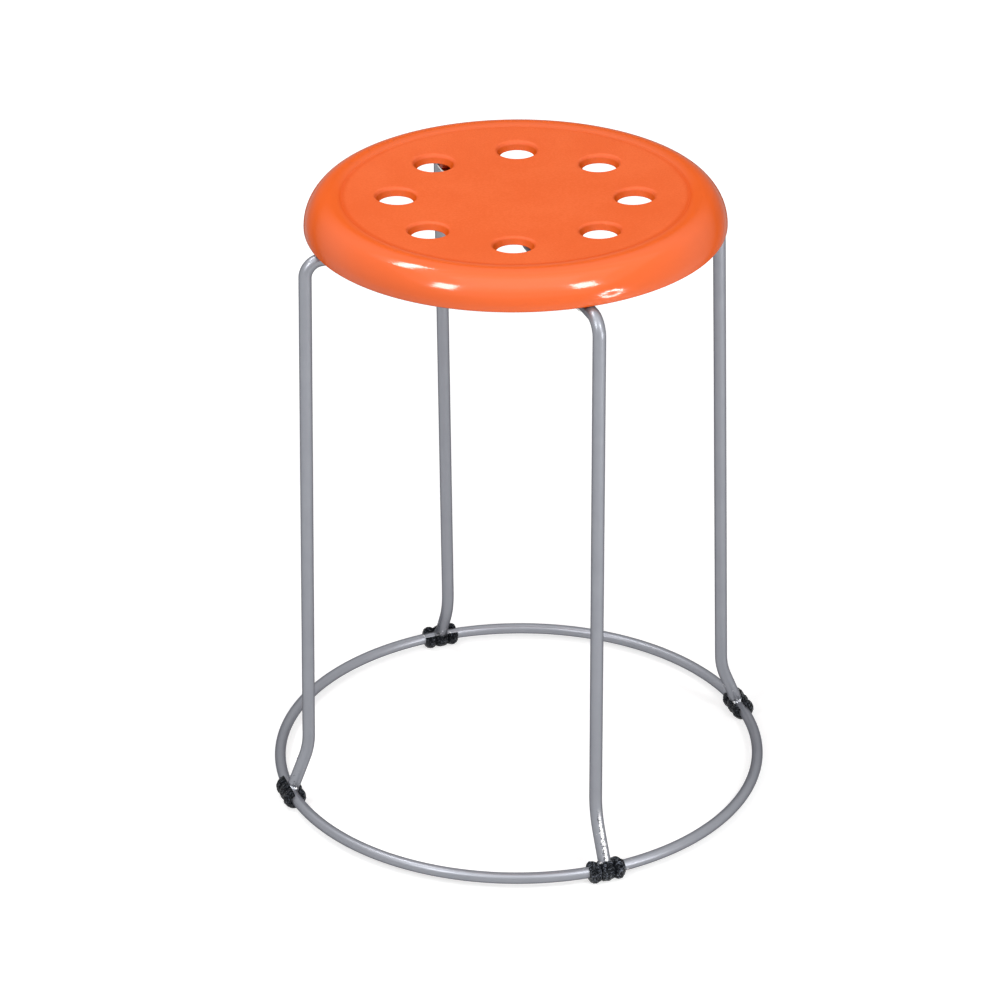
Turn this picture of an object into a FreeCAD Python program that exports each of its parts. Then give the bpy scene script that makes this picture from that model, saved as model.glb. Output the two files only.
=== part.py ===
import FreeCAD, Part
import math
import os
import Sketcher

# A round stacking stool: an injection-moulded seat on two crossing hoops of bent steel rod,
# a rod ring under the four legs and four ribbed feet clipped on the ring.
# Z points up, the origin is on the floor under the middle of the seat.
# The hoops stand in the XZ and YZ planes. All sizes are in millimetres and degrees.

SIZES = {
    # Whole stool, floor to the crest of the seat's rim
    "total_height": 450,

    # Rim and disc of the seat, measured on the outside
    "seat_diameter": 290,
    "rim_crest_inset": 18.5,
    "rim_drop": 22,
    "rim_skirt": 1.5,
    "rim_edge_round": 1,
    "crease_inset": 25.5,
    "crease_depth": 0.9,
    "dish_depth": 3.4,
    "dish_flat_radius": 25,
    "seat_wall": 2.8,

    # Tapered holes through the disc, each with a collar below it
    "hole_ring_radius": 81.5,
    "hole_start_angle": 24,
    "hole_top_diameter": 29.4,
    "hole_bottom_diameter": 23.6,
    "hole_depth": 5.6,
    "hole_lip_round": 2.2,
    "hole_collar_wall": 2.2,

    # Ribs under the disc, their lower edges at one level below the crest
    "rib_level": 12.5,
    "rib_thickness": 1.8,
    "hub_rib_radius": 30,
    "outer_rib_radius": 104,

    # Legs and hoops
    "leg_rod_diameter": 9,
    "rim_rest_gap": 0.2,
    "side_top_reach": 151.2,
    "front_top_reach": 158,
    "top_bend_radius": 12,
    "side_knee_reach": 160.5,
    "front_knee_reach": 155,
    "knee_height": 43,
    "knee_bend_radius": 50,
    "leg_end_lift": 2,
    "crossing_gap": 0.3,
    "dip_inner": 12,
    "dip_outer": 106,
    "rise_inner": 9,
    "rise_outer": 26,
    "crossing_bend_radius": 20,

    # Base ring
    "ring_rod_diameter": 8,
    "base_ring_radius": 175,

    # Weld beads
    "leg_weld_radius": 5.8,
    "leg_weld_lift": 2.2,
    "leg_weld_base": 0.3,
    "crossing_weld_radius": 5.8,

    # Ribbed feet
    "foot_length": 26,
    "foot_diameter": 16.5,
    "foot_sole": 3.5,
    "foot_middle_rib": 9.8,
    "foot_end_crown": 8.9,
    "foot_groove_depth": 1.6,
    "foot_end_depth": 3.1,
    "foot_slot_tilt": 22,
    "foot_slot_half_angle": 37,
    "foot_grip_gap": 0.1,
    "foot_weld_gap": 0.3,
    "foot_leg_gap": 0.6,

    # Straps and screws that hold the hoops to the seat
    "clamp_radius": 121,
    "clamp_width": 16,
    "clamp_thickness": 1.2,
    "clamp_rod_gap": 0.1,
    "clamp_end_margin": 3.5,
    "clamp_corner_round": 3,
    "saddle_thickness": 2.5,
    "screw_offset": 9,
    "screw_shank_diameter": 3,
    "screw_length": 13,
    "screw_point": 2,
    "screw_head_diameter": 6,
    "screw_head_height": 2.2,
    "screw_hole_gap": 0.4,
    "recess_length": 3.4,
    "recess_width": 0.9,
    "recess_depth": 1.3,
    "boss_diameter": 7,
    "pilot_gap": 0.1,
    "pilot_extra_depth": 3,
}

LEG_NAMES = ["right", "back", "left", "front"]
HOLE_COUNT = 8
LEG_COUNT = len(LEG_NAMES)
QUARTER_TURN = 360 / LEG_COUNT
HOLE_STEP = 360 / HOLE_COUNT
LIP_SAMPLES = 7

doc = FreeCAD.newDocument("stool")
sheet = doc.addObject("Spreadsheet::Sheet", "dims")
for row, (alias, number) in enumerate(SIZES.items(), start=1):
    sheet.set("A%d" % row, alias)
    sheet.set("B%d" % row, str(number))
    sheet.setAlias("B%d" % row, alias)
doc.recompute()

# Derived sizes, each one an expression on the sheet
SEAT_R = "dims.seat_diameter / 2"
CREST_R = "(dims.seat_diameter / 2 - dims.rim_crest_inset)"
CREASE_R = "(dims.seat_diameter / 2 - dims.crease_inset)"
CREASE_Z = "(dims.total_height - dims.crease_depth)"
WIDEST_Z = "(dims.total_height - dims.rim_drop)"
RIM_Z = "(dims.total_height - dims.rim_drop - dims.rim_skirt)"
RIB_Z = "(dims.total_height - dims.rib_level)"
DISH_Z = "(dims.total_height - dims.crease_depth - dims.dish_depth)"
DISH_ARC = (f"((({CREASE_R} - dims.dish_flat_radius) ^ 2 + dims.dish_depth ^ 2)"
            " / (2 * dims.dish_depth))")
CREST_ARC = f"((({CREST_R} - {CREASE_R}) ^ 2 + dims.crease_depth ^ 2) / (2 * dims.crease_depth))"

# The rim's roll is a quarter oval drawn as two tangent arcs that meet at 45 degrees
ROLL_DIAGONAL = "sqrt(0.5)"
ROLL_SHARE = "(sqrt(2) - 1)"
ROLL_TOP_ARC = (f"((dims.rim_crest_inset * {ROLL_DIAGONAL} - dims.rim_drop * (1 - {ROLL_DIAGONAL}))"
                f" / {ROLL_SHARE})")
ROLL_SIDE_ARC = (f"((dims.rim_drop * {ROLL_DIAGONAL} - dims.rim_crest_inset * (1 - {ROLL_DIAGONAL}))"
                 f" / {ROLL_SHARE})")

LEG_ROD_R = "(dims.leg_rod_diameter / 2)"
RING_ROD_R = "(dims.ring_rod_diameter / 2)"
RING_Z = f"(dims.foot_sole + {RING_ROD_R})"
HOOP_Z = f"({RIM_Z} - dims.rim_rest_gap - {LEG_ROD_R})"
DIP_Z = f"({HOOP_Z} - (dims.leg_rod_diameter + dims.crossing_gap) / 2)"
RISE_Z = f"({HOOP_Z} + (dims.leg_rod_diameter + dims.crossing_gap) / 2)"
LEG_END_Z = f"({RING_Z} + dims.leg_end_lift)"
CLAMP_ROD_R = f"({LEG_ROD_R} + dims.clamp_rod_gap)"
PILOT_R = "(dims.screw_shank_diameter / 2 + dims.pilot_gap)"


def dish_height(radius):
    """Height of the disc's upper face at a distance from the seat's axis, outside its flat middle."""
    return f"({DISH_Z} + {DISH_ARC} - sqrt({DISH_ARC} ^ 2 - ({radius} - dims.dish_flat_radius) ^ 2))"


def kick_slope(knee):
    """Outward run for each unit of height of a leg's end, below a knee at a distance from the axis."""
    return f"((dims.base_ring_radius - {knee}) / (dims.knee_height - {RING_Z}))"


def value(expression):
    """The number that an expression on the sheet gives now."""
    result = sheet.evalExpression(expression)
    return float(getattr(result, "Value", result))


def origin_feature(body, role):
    """One of the body's own base planes or axes."""
    return next(item for item in body.Origin.OriginFeatures if item.Role == role)


def new_body(label, angle=0):
    """A body that carries a sub-part's name, turned about the stool's axis."""
    body = doc.addObject("PartDesign::Body", label)
    body.Label = label
    body.Placement = FreeCAD.Placement(FreeCAD.Vector(), FreeCAD.Rotation(FreeCAD.Vector(0, 0, 1), angle))
    return body


def new_sketch(body, name, role, height=None, turn=None):
    """A sketch on a base plane, lifted along the plane's normal or turned about its upright axis."""
    sketch = body.newObject("Sketcher::SketchObject", name)
    sketch.AttachmentSupport = [(origin_feature(body, role), "")]
    sketch.MapMode = "FlatFace"
    if turn is not None:
        upright = FreeCAD.Rotation(FreeCAD.Vector(0, 1, 0), value(turn))
        sketch.AttachmentOffset = FreeCAD.Placement(FreeCAD.Vector(), upright)
        sketch.setExpression("AttachmentOffset.Rotation.Angle", turn)
    if height is not None:
        sketch.setExpression("AttachmentOffset.Base.z", height)
    return sketch


def bind(sketch, kind, *where):
    """A dimension on a sketch, bound to the expression that comes last."""
    expression = where[-1]
    index = sketch.addConstraint(Sketcher.Constraint(kind, *where[:-1], value(expression)))
    sketch.setExpression("Constraints[%d]" % index, expression)


def place_point(sketch, geometry, end, x, y):
    """Dimensions from the sketch's origin to one point. A coordinate of 0 lies on the axis."""
    if x == "0":
        sketch.addConstraint(Sketcher.Constraint("PointOnObject", geometry, end, -2))
    else:
        bind(sketch, "DistanceX", -1, 1, geometry, end, x)
    if y == "0":
        sketch.addConstraint(Sketcher.Constraint("PointOnObject", geometry, end, -1))
    else:
        bind(sketch, "DistanceY", -1, 1, geometry, end, y)


def arc_between(start, finish, radius, side):
    """The short arc between two points. Side 1 has its centre left of the way, side -1 right."""
    chord = finish - start
    half = chord.Length / 2
    reach = math.sqrt(max(radius ** 2 - half ** 2, 0))
    left = FreeCAD.Vector(-chord.y, chord.x, 0).normalize()
    centre = (start + finish) / 2 + left * reach * side
    first, last = (start, finish) if side > 0 else (finish, start)
    angles = [math.atan2(p.y - centre.y, p.x - centre.x) for p in (first, last)]
    return Part.ArcOfCircle(Part.Circle(centre, FreeCAD.Vector(0, 0, 1), radius), *angles)


def draw_outline(sketch, points, arcs=None):
    """A closed outline. Arcs gives, for the edge after a point, its radius and its centre's side."""
    arcs = arcs or {}
    spots = [FreeCAD.Vector(value(x), value(y), 0) for x, y in points]
    edges = []
    for index, start in enumerate(spots):
        finish = spots[(index + 1) % len(spots)]
        if index in arcs:
            radius, side = arcs[index]
            edge = sketch.addGeometry(arc_between(start, finish, value(radius), side), False)
            ends = (1, 2) if side > 0 else (2, 1)
        else:
            edge = sketch.addGeometry(Part.LineSegment(start, finish), False)
            ends = (1, 2)
        edges.append((edge, ends))
    for index, (edge, ends) in enumerate(edges):
        following, following_ends = edges[(index + 1) % len(edges)]
        sketch.addConstraint(
            Sketcher.Constraint("Coincident", edge, ends[1], following, following_ends[0]))
    for (edge, ends), (x, y) in zip(edges, points):
        place_point(sketch, edge, ends[0], x, y)
    for index, (radius, side) in arcs.items():
        bind(sketch, "Radius", edges[index][0], radius)


def draw_circle(sketch, x, y, radius):
    """A circle with its centre and radius bound."""
    centre = FreeCAD.Vector(value(x), value(y), 0)
    circle = sketch.addGeometry(
        Part.Circle(centre, FreeCAD.Vector(0, 0, 1), value(radius)), False)
    place_point(sketch, circle, 3, x, y)
    bind(sketch, "Radius", circle, radius)


def add_feature(body, kind, name, profile, **properties):
    """A feature on the body. A property given as text that names the sheet is bound to it."""
    feature = body.newObject("PartDesign::" + kind, name)
    feature.Profile = profile
    for key, setting in properties.items():
        if isinstance(setting, str) and "dims." in setting:
            feature.setExpression(key, setting)
        else:
            setattr(feature, key, setting)
    body.Tip = feature
    return feature


def turn_about(body, kind, name, sketch, axis="V_Axis"):
    """A full turn of a sketch about its own upright axis, or another axis of the sketch."""
    return add_feature(body, kind, name, sketch, ReferenceAxis=(sketch, [axis]), Angle=360)


def turn_pattern(body, name, originals, count):
    """Copies of features, spread round the stool's axis."""
    pattern = body.newObject("PartDesign::PolarPattern", name)
    pattern.Originals = originals
    pattern.Axis = (origin_feature(body, "Z_Axis"), [""])
    pattern.Angle = 360
    pattern.Occurrences = count
    body.Tip = pattern
    return pattern


def draw_bent_path(sketch, corners, radii):
    """Straight runs through the corners, joined by tangent bends."""
    spots = [FreeCAD.Vector(value(x), value(y), 0) for x, y in corners]
    ways = [(b - a).normalize() for a, b in zip(spots, spots[1:])]
    cuts = [0]
    for before, after, radius in zip(ways, ways[1:], radii):
        cuts.append(value(radius) * math.tan(before.getAngle(after) / 2))
    cuts.append(0)
    runs = []
    for index, way in enumerate(ways):
        start = spots[index] + way * cuts[index]
        finish = spots[index + 1] - way * cuts[index + 1]
        runs.append(sketch.addGeometry(Part.LineSegment(start, finish), False))
    for index, radius in enumerate(radii):
        corner = spots[index + 1]
        start = corner - ways[index] * cuts[index + 1]
        finish = corner + ways[index + 1] * cuts[index + 1]
        side = 1 if ways[index].cross(ways[index + 1]).z > 0 else -1
        bend = sketch.addGeometry(arc_between(start, finish, value(radius), side), False)
        ends = (1, 2) if side > 0 else (2, 1)
        sketch.addConstraint(Sketcher.Constraint("Tangent", runs[index], 2, bend, ends[0]))
        sketch.addConstraint(Sketcher.Constraint("Tangent", bend, ends[1], runs[index + 1], 1))
        bind(sketch, "Radius", bend, radius)
        point = sketch.addGeometry(Part.Point(corner), True)
        for run in (runs[index], runs[index + 1]):
            sketch.addConstraint(Sketcher.Constraint("PointOnObject", point, 1, run))
        place_point(sketch, point, 1, *corners[index + 1])
    place_point(sketch, runs[0], 1, *corners[0])
    place_point(sketch, runs[-1], 2, *corners[-1])


# Seat moulding

def shell_line(depth):
    """The seat's section from the axis to the skirt, at a depth inside the outer face."""
    top_arc = f"({ROLL_TOP_ARC} - {depth})"
    side_arc = f"({ROLL_SIDE_ARC} - {depth})"
    join_r = f"({CREST_R} + {top_arc} * {ROLL_DIAGONAL})"
    join_z = f"(dims.total_height - {ROLL_TOP_ARC} + {top_arc} * {ROLL_DIAGONAL})"
    points = [
        ("0", f"{DISH_Z} - {depth}"),
        ("dims.dish_flat_radius", f"{DISH_Z} - {depth}"),
        (CREASE_R, f"{CREASE_Z} - {depth}"),
        (CREST_R, f"dims.total_height - {depth}"),
        (join_r, join_z),
        (f"{SEAT_R} - {depth}", WIDEST_Z),
    ]
    bends = {1: (DISH_ARC, 1), 2: (CREST_ARC, -1), 3: (top_arc, -1), 4: (side_arc, -1)}
    return points, bends


def add_shell(body):
    """The shell: dished disc, crease, rolled rim and skirt with a rounded lower edge."""
    outer, bends = shell_line("0")
    inner, inner_bends = shell_line("dims.seat_wall")
    edge = [
        (SEAT_R, f"{RIM_Z} + dims.rim_edge_round"),
        (f"{SEAT_R} - dims.rim_edge_round", RIM_Z),
        (f"{SEAT_R} - dims.seat_wall", RIM_Z),
    ]
    points = outer + edge + inner[::-1]
    arcs = dict(bends)
    arcs[len(outer)] = ("dims.rim_edge_round", -1)
    last = len(points) - 1
    for index, (radius, side) in inner_bends.items():
        arcs[last - 1 - index] = (radius, -side)
    sketch = new_sketch(body, "shell_section", "XZ_Plane")
    draw_outline(sketch, points, arcs)
    return turn_about(body, "Revolution", "shell", sketch)


def add_hole_cone(body, kind, name, low, high, low_radius, high_radius):
    """A cone on the axis of the first hole, added to the body or taken away."""
    cone = body.newObject("PartDesign::" + kind, name)
    cone.AttachmentSupport = [(origin_feature(body, "XY_Plane"), "")]
    cone.MapMode = "FlatFace"
    start = "dims.hole_start_angle * 1 deg"
    cone.setExpression("AttachmentOffset.Base.x", f"dims.hole_ring_radius * cos({start})")
    cone.setExpression("AttachmentOffset.Base.y", f"dims.hole_ring_radius * sin({start})")
    cone.setExpression("AttachmentOffset.Base.z", low)
    cone.setExpression("Radius1", low_radius)
    cone.setExpression("Radius2", high_radius)
    cone.setExpression("Height", f"{high} - ({low})")
    body.Tip = cone
    return cone


def add_holes(body):
    """Tapered holes with collars, spread round the disc, their upper lips rounded."""
    top_r = "dims.hole_top_diameter / 2"
    bottom_r = "dims.hole_bottom_diameter / 2"
    face = dish_height("dims.hole_ring_radius")
    foot = f"{face} - dims.hole_depth"
    middle = f"{face} - dims.seat_wall / 2"
    collar = add_hole_cone(body, "AdditiveCone", "collar", foot, middle,
                           f"{bottom_r} + dims.hole_collar_wall", f"{top_r} + dims.hole_collar_wall")
    over = "dims.seat_wall"
    widening = f"({top_r} - {bottom_r}) / dims.hole_depth * {over}"
    hole = add_hole_cone(body, "SubtractiveCone", "hole", f"{foot} - {over}", f"{face} + {over}",
                         f"{bottom_r} - {widening}", f"{top_r} + {widening}")
    pattern = turn_pattern(body, "holes", [collar, hole], HOLE_COUNT)
    doc.recompute()

    lips = [name for name, edge in edge_names(pattern) if is_hole_lip(edge)]
    lip_round = body.newObject("PartDesign::Fillet", "hole_lips")
    lip_round.Base = (pattern, lips)
    lip_round.setExpression("Radius", "dims.hole_lip_round")
    body.Tip = lip_round


def edge_names(feature):
    """The edges of a feature's shape with the names that other features use."""
    return [("Edge%d" % (index + 1), edge) for index, edge in enumerate(feature.Shape.Edges)]


def is_hole_lip(edge):
    """True for the edge where a tapered hole meets the upper face of the disc."""
    if edge.Degenerated:
        return False
    lip = value("dims.hole_top_diameter / 2")
    bottom = value("dims.hole_bottom_diameter / 2")
    face = value(dish_height("dims.hole_ring_radius"))
    depth = value("dims.hole_depth")
    span = edge.LastParameter - edge.FirstParameter
    for step in range(LIP_SAMPLES):
        spot = edge.valueAt(edge.FirstParameter + span * step / (LIP_SAMPLES - 1))
        angle = math.degrees(math.atan2(spot.y, spot.x)) - value("dims.hole_start_angle")
        nearest = value("dims.hole_start_angle") + HOLE_STEP * round(angle / HOLE_STEP)
        ring = value("dims.hole_ring_radius")
        x = ring * math.cos(math.radians(nearest))
        y = ring * math.sin(math.radians(nearest))
        distance = math.hypot(spot.x - x, spot.y - y)
        if abs(distance - lip) > (lip - bottom) / 2 or abs(spot.z - face) > depth / 3:
            return False
    return True


def add_ribs(body):
    """Two ring ribs, and a radial rib midway between each two holes."""
    for name, radius in (("hub_rib", "dims.hub_rib_radius"), ("outer_rib", "dims.outer_rib_radius")):
        top = f"{dish_height(radius)} - dims.seat_wall / 2"
        inside = f"{radius} - dims.rib_thickness / 2"
        outside = f"{radius} + dims.rib_thickness / 2"
        sketch = new_sketch(body, name + "_section", "XZ_Plane")
        draw_outline(sketch, [(inside, RIB_Z), (outside, RIB_Z), (outside, top), (inside, top)])
        turn_about(body, "Revolution", name, sketch)

    depth = "dims.seat_wall / 2"
    line, bends = shell_line(depth)
    side_arc = f"({ROLL_SIDE_ARC} - {depth})"
    end_r = f"({SEAT_R} - {ROLL_SIDE_ARC} + sqrt({side_arc} ^ 2 - ({RIB_Z} - {WIDEST_Z}) ^ 2))"
    points = [("dims.hub_rib_radius", f"{dish_height('dims.hub_rib_radius')} - {depth}")]
    points += line[2:-1]
    points += [(end_r, RIB_Z), ("dims.hub_rib_radius", RIB_Z)]
    half_step = f"dims.hole_start_angle + {HOLE_STEP / 2}"
    sketch = new_sketch(body, "radial_rib_section", "XZ_Plane", turn=half_step)
    draw_outline(sketch, points, {index - 1: bend for index, bend in bends.items()})
    rib = add_feature(body, "Pad", "radial_rib", sketch, Length="dims.rib_thickness", Midplane=True)
    turn_pattern(body, "radial_ribs", [rib], HOLE_COUNT)


def add_clamp_seats(body):
    """For each leg rod, a rib with a rounded notch over the rod and two screw bosses beside it."""
    height = f"{dish_height('dims.clamp_radius')} - dims.seat_wall / 2 - {HOOP_Z}"
    boss_sketch = new_sketch(body, "boss_plan", "XY_Plane", height=HOOP_Z)
    pilot_sketch = new_sketch(body, "pilot_plan", "XY_Plane", height=HOOP_Z)
    for side in ("", "-"):
        draw_circle(boss_sketch, "dims.clamp_radius", f"{side}dims.screw_offset", "dims.boss_diameter / 2")
        draw_circle(pilot_sketch, "dims.clamp_radius", f"{side}dims.screw_offset", PILOT_R)
    bosses = add_feature(body, "Pad", "screw_bosses", boss_sketch, Length=height)

    top = f"{dish_height('dims.clamp_radius')} - dims.seat_wall / 2"
    saddle_sketch = new_sketch(body, "saddle_section", "YZ_Plane", height="dims.clamp_radius")
    draw_outline(saddle_sketch, [
        ("-dims.screw_offset", HOOP_Z),
        (f"-{CLAMP_ROD_R}", HOOP_Z),
        ("0", f"{HOOP_Z} + {CLAMP_ROD_R}"),
        (CLAMP_ROD_R, HOOP_Z),
        ("dims.screw_offset", HOOP_Z),
        ("dims.screw_offset", top),
        ("-dims.screw_offset", top),
    ], {1: (CLAMP_ROD_R, -1), 2: (CLAMP_ROD_R, -1)})
    saddle = add_feature(body, "Pad", "saddle", saddle_sketch,
                         Length="dims.saddle_thickness", Midplane=True)
    pilots = add_feature(body, "Pocket", "pilot_holes", pilot_sketch, Reversed=True,
                         Length="dims.screw_length + dims.pilot_extra_depth")
    turn_pattern(body, "clamp_seats", [bosses, saddle, pilots], LEG_COUNT)


def make_seat():
    body = new_body("seat")
    add_shell(body)
    add_holes(body)
    add_ribs(body)
    add_clamp_seats(body)
    return body


# Steel rod frame

def draw_ring_circle(sketch, gap="0"):
    """The section of the base ring, larger by a gap."""
    draw_circle(sketch, "dims.base_ring_radius", RING_Z, f"{RING_ROD_R} + {gap}")


def make_hoop(label, angle, top, knee, crossing):
    """An upside-down U of rod. Its legs splay, kick out at the knee and end on the base ring.

    The last corners give half of its dip or rise at the crossing, outer corner first.
    """
    body = new_body(label, angle)
    leg = [
        (f"(dims.base_ring_radius - dims.leg_end_lift * {kick_slope(knee)})", LEG_END_Z),
        (knee, "dims.knee_height"),
        (top, HOOP_Z),
    ]
    half = leg + crossing
    corners = [(f"-{x}", z) for x, z in half] + half[::-1]
    radii = ["dims.knee_bend_radius", "dims.top_bend_radius"]
    radii += ["dims.crossing_bend_radius"] * (2 * len(crossing))
    radii += ["dims.top_bend_radius", "dims.knee_bend_radius"]
    path = new_sketch(body, "path", "XZ_Plane")
    draw_bent_path(path, corners, radii)
    doc.recompute()

    section = body.newObject("Sketcher::SketchObject", "section")
    section.AttachmentSupport = [(path, "Edge1")]
    section.MapMode = "NormalToEdge"
    section.MapPathParameter = 0
    draw_circle(section, "0", "0", LEG_ROD_R)
    runs = ["Edge%d" % (index + 1) for index in range(len(path.Shape.Edges))]
    add_feature(body, "AdditivePipe", "rod", section, Spine=(path, runs))

    cope = new_sketch(body, "cope_section", "XZ_Plane")
    draw_ring_circle(cope)
    turn_about(body, "Groove", "cope", cope)
    return body


def make_base_ring():
    body = new_body("base_ring")
    sketch = new_sketch(body, "section", "XZ_Plane")
    draw_ring_circle(sketch)
    turn_about(body, "Revolution", "ring", sketch)
    return body


# Weld beads

def kick_sketch(body, name, knee):
    """A sketch with its origin on the ring's rod and its upright axis along the leg's end."""
    sketch = new_sketch(body, name, "XZ_Plane")
    lean = FreeCAD.Rotation(FreeCAD.Vector(0, 0, 1), value(f"atan({kick_slope(knee)})"))
    sketch.AttachmentOffset = FreeCAD.Placement(FreeCAD.Vector(), lean)
    sketch.setExpression("AttachmentOffset.Rotation.Angle", f"atan({kick_slope(knee)})")
    sketch.setExpression("AttachmentOffset.Base.x", "dims.base_ring_radius")
    sketch.setExpression("AttachmentOffset.Base.y", RING_Z)
    return sketch


def trim(label, blank, tools):
    """A weld bead: a round blank less the rods that it joins."""
    bead = blank
    for index, tool in enumerate(tools):
        last = index == len(tools) - 1
        cut = doc.addObject("Part::Cut", label if last else "%s_trim_%d" % (label, index + 1))
        cut.Base = bead
        cut.Tool = tool
        bead = cut
    bead.Label = label
    return bead


def make_leg_weld(name, angle, knee, ring, hoop):
    """The bead round a leg's end, a ball cut off flat beside the ring's rod."""
    body = new_body("leg_weld_blank_" + name, angle)
    sketch = kick_sketch(body, "section", knee)
    ball_r = "dims.leg_weld_radius"
    lift = "dims.leg_weld_lift"
    base = "dims.leg_weld_base"
    draw_outline(sketch, [
        ("0", base),
        (f"sqrt({ball_r} ^ 2 - ({lift} - {base}) ^ 2)", base),
        (ball_r, lift),
        ("0", f"{lift} + {ball_r}"),
    ], {1: (ball_r, 1), 2: (ball_r, 1)})
    turn_about(body, "Revolution", "ball", sketch)
    return trim("leg_weld_" + name, body, [ring, hoop])


def make_crossing_weld(upper, lower):
    """The bead between the two hoops where they cross."""
    ball = doc.addObject("Part::Sphere", "crossing_weld_blank")
    ball.setExpression("Radius", "dims.crossing_weld_radius")
    ball.setExpression("Placement.Base.z", HOOP_Z)
    return trim("crossing_weld", ball, [upper, lower])


# Ribbed feet

def make_foot(name, angle, knee):
    """A clip-on foot: three rounded ribs round the ring's rod, open above along its length."""
    body = new_body("foot_" + name, angle)
    axis_x = "dims.base_ring_radius"
    crown = "dims.foot_diameter / 2"
    groove = f"({crown} - dims.foot_groove_depth)"
    end_r = f"({crown} - dims.foot_end_depth)"
    half_middle = "dims.foot_middle_rib / 2"
    crown_y = "dims.foot_end_crown"
    end_y = "dims.foot_length / 2"
    middle_arc = f"((({half_middle}) ^ 2 + dims.foot_groove_depth ^ 2) / (2 * dims.foot_groove_depth))"
    inner_arc = (f"((({crown_y} - {half_middle}) ^ 2 + dims.foot_groove_depth ^ 2)"
                 f" / (2 * dims.foot_groove_depth))")
    outer_arc = (f"((({end_y} - {crown_y}) ^ 2 + dims.foot_end_depth ^ 2)"
                 f" / (2 * dims.foot_end_depth))")
    half = [
        (end_r, end_y),
        (crown, crown_y),
        (groove, half_middle),
    ]
    points = [(axis_x, f"-{end_y}")]
    points += [(f"{axis_x} + {r}", f"-{y}") for r, y in half]
    points += [(f"{axis_x} + {r}", y) for r, y in half[::-1]]
    points += [(axis_x, end_y)]
    bends = [outer_arc, inner_arc, middle_arc, inner_arc, outer_arc]
    sketch = new_sketch(body, "rib_section", "XY_Plane", height=RING_Z)
    draw_outline(sketch, points, {index + 1: (radius, 1) for index, radius in enumerate(bends)})
    low = FreeCAD.Vector(value(axis_x), -value(end_y), 0)
    high = FreeCAD.Vector(value(axis_x), value(end_y), 0)
    axis = sketch.addGeometry(Part.LineSegment(low, high), True)
    place_point(sketch, axis, 1, axis_x, f"-{end_y}")
    place_point(sketch, axis, 2, axis_x, end_y)
    turn_about(body, "Revolution", "ribs", sketch, "Axis0")

    bore = new_sketch(body, "bore_section", "XZ_Plane")
    draw_ring_circle(bore, "dims.foot_grip_gap")
    turn_about(body, "Groove", "bore", bore)
    cut_foot_slot(body)
    cut_foot_leg_pocket(body, knee)

    sole = new_sketch(body, "sole_section", "XZ_Plane")
    reach = "dims.foot_diameter"
    draw_outline(sole, [
        (f"{axis_x} - {reach}", "0"),
        (f"{axis_x} - {reach}", f"-{reach}"),
        (f"{axis_x} + {reach}", f"-{reach}"),
        (f"{axis_x} + {reach}", "0"),
    ])
    add_feature(body, "Pocket", "sole", sole, Length="2 * dims.foot_length", Midplane=True)
    return body


def cut_foot_slot(body):
    """The slot that lets the foot snap on from below, leaning towards the leg."""
    reach = "dims.foot_diameter"
    low_side = "(dims.foot_slot_tilt + dims.foot_slot_half_angle)"
    high_side = "(dims.foot_slot_half_angle - dims.foot_slot_tilt)"
    slot = new_sketch(body, "slot_section", "XZ_Plane")
    draw_outline(slot, [
        ("dims.base_ring_radius", RING_Z),
        (f"dims.base_ring_radius + {reach} * sin({high_side} * 1 deg)",
         f"{RING_Z} + {reach} * cos({high_side} * 1 deg)"),
        (f"dims.base_ring_radius - 2 * {reach} * sin(dims.foot_slot_tilt * 1 deg)",
         f"{RING_Z} + 2 * {reach} * cos(dims.foot_slot_tilt * 1 deg)"),
        (f"dims.base_ring_radius - {reach} * sin({low_side} * 1 deg)",
         f"{RING_Z} + {reach} * cos({low_side} * 1 deg)"),
    ])
    add_feature(body, "Pocket", "slot", slot, Length="2 * dims.foot_length", Midplane=True)


def cut_foot_leg_pocket(body, knee):
    """Room for the leg's end and its weld bead between the walls of the foot."""
    ball_r = "(dims.leg_weld_radius + dims.foot_weld_gap)"
    lift = "dims.leg_weld_lift"
    leg_r = f"({LEG_ROD_R} + dims.foot_leg_gap)"
    top = "dims.foot_diameter"
    pocket = kick_sketch(body, "leg_pocket_section", knee)
    draw_outline(pocket, [
        ("0", "0"),
        (f"sqrt({ball_r} ^ 2 - {lift} ^ 2)", "0"),
        (ball_r, lift),
        (leg_r, f"{lift} + sqrt({ball_r} ^ 2 - {leg_r} ^ 2)"),
        (leg_r, top),
        ("0", top),
    ], {1: (ball_r, 1), 2: (ball_r, 1)})
    turn_about(body, "Groove", "leg_pocket", pocket)


# Straps and screws

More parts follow.
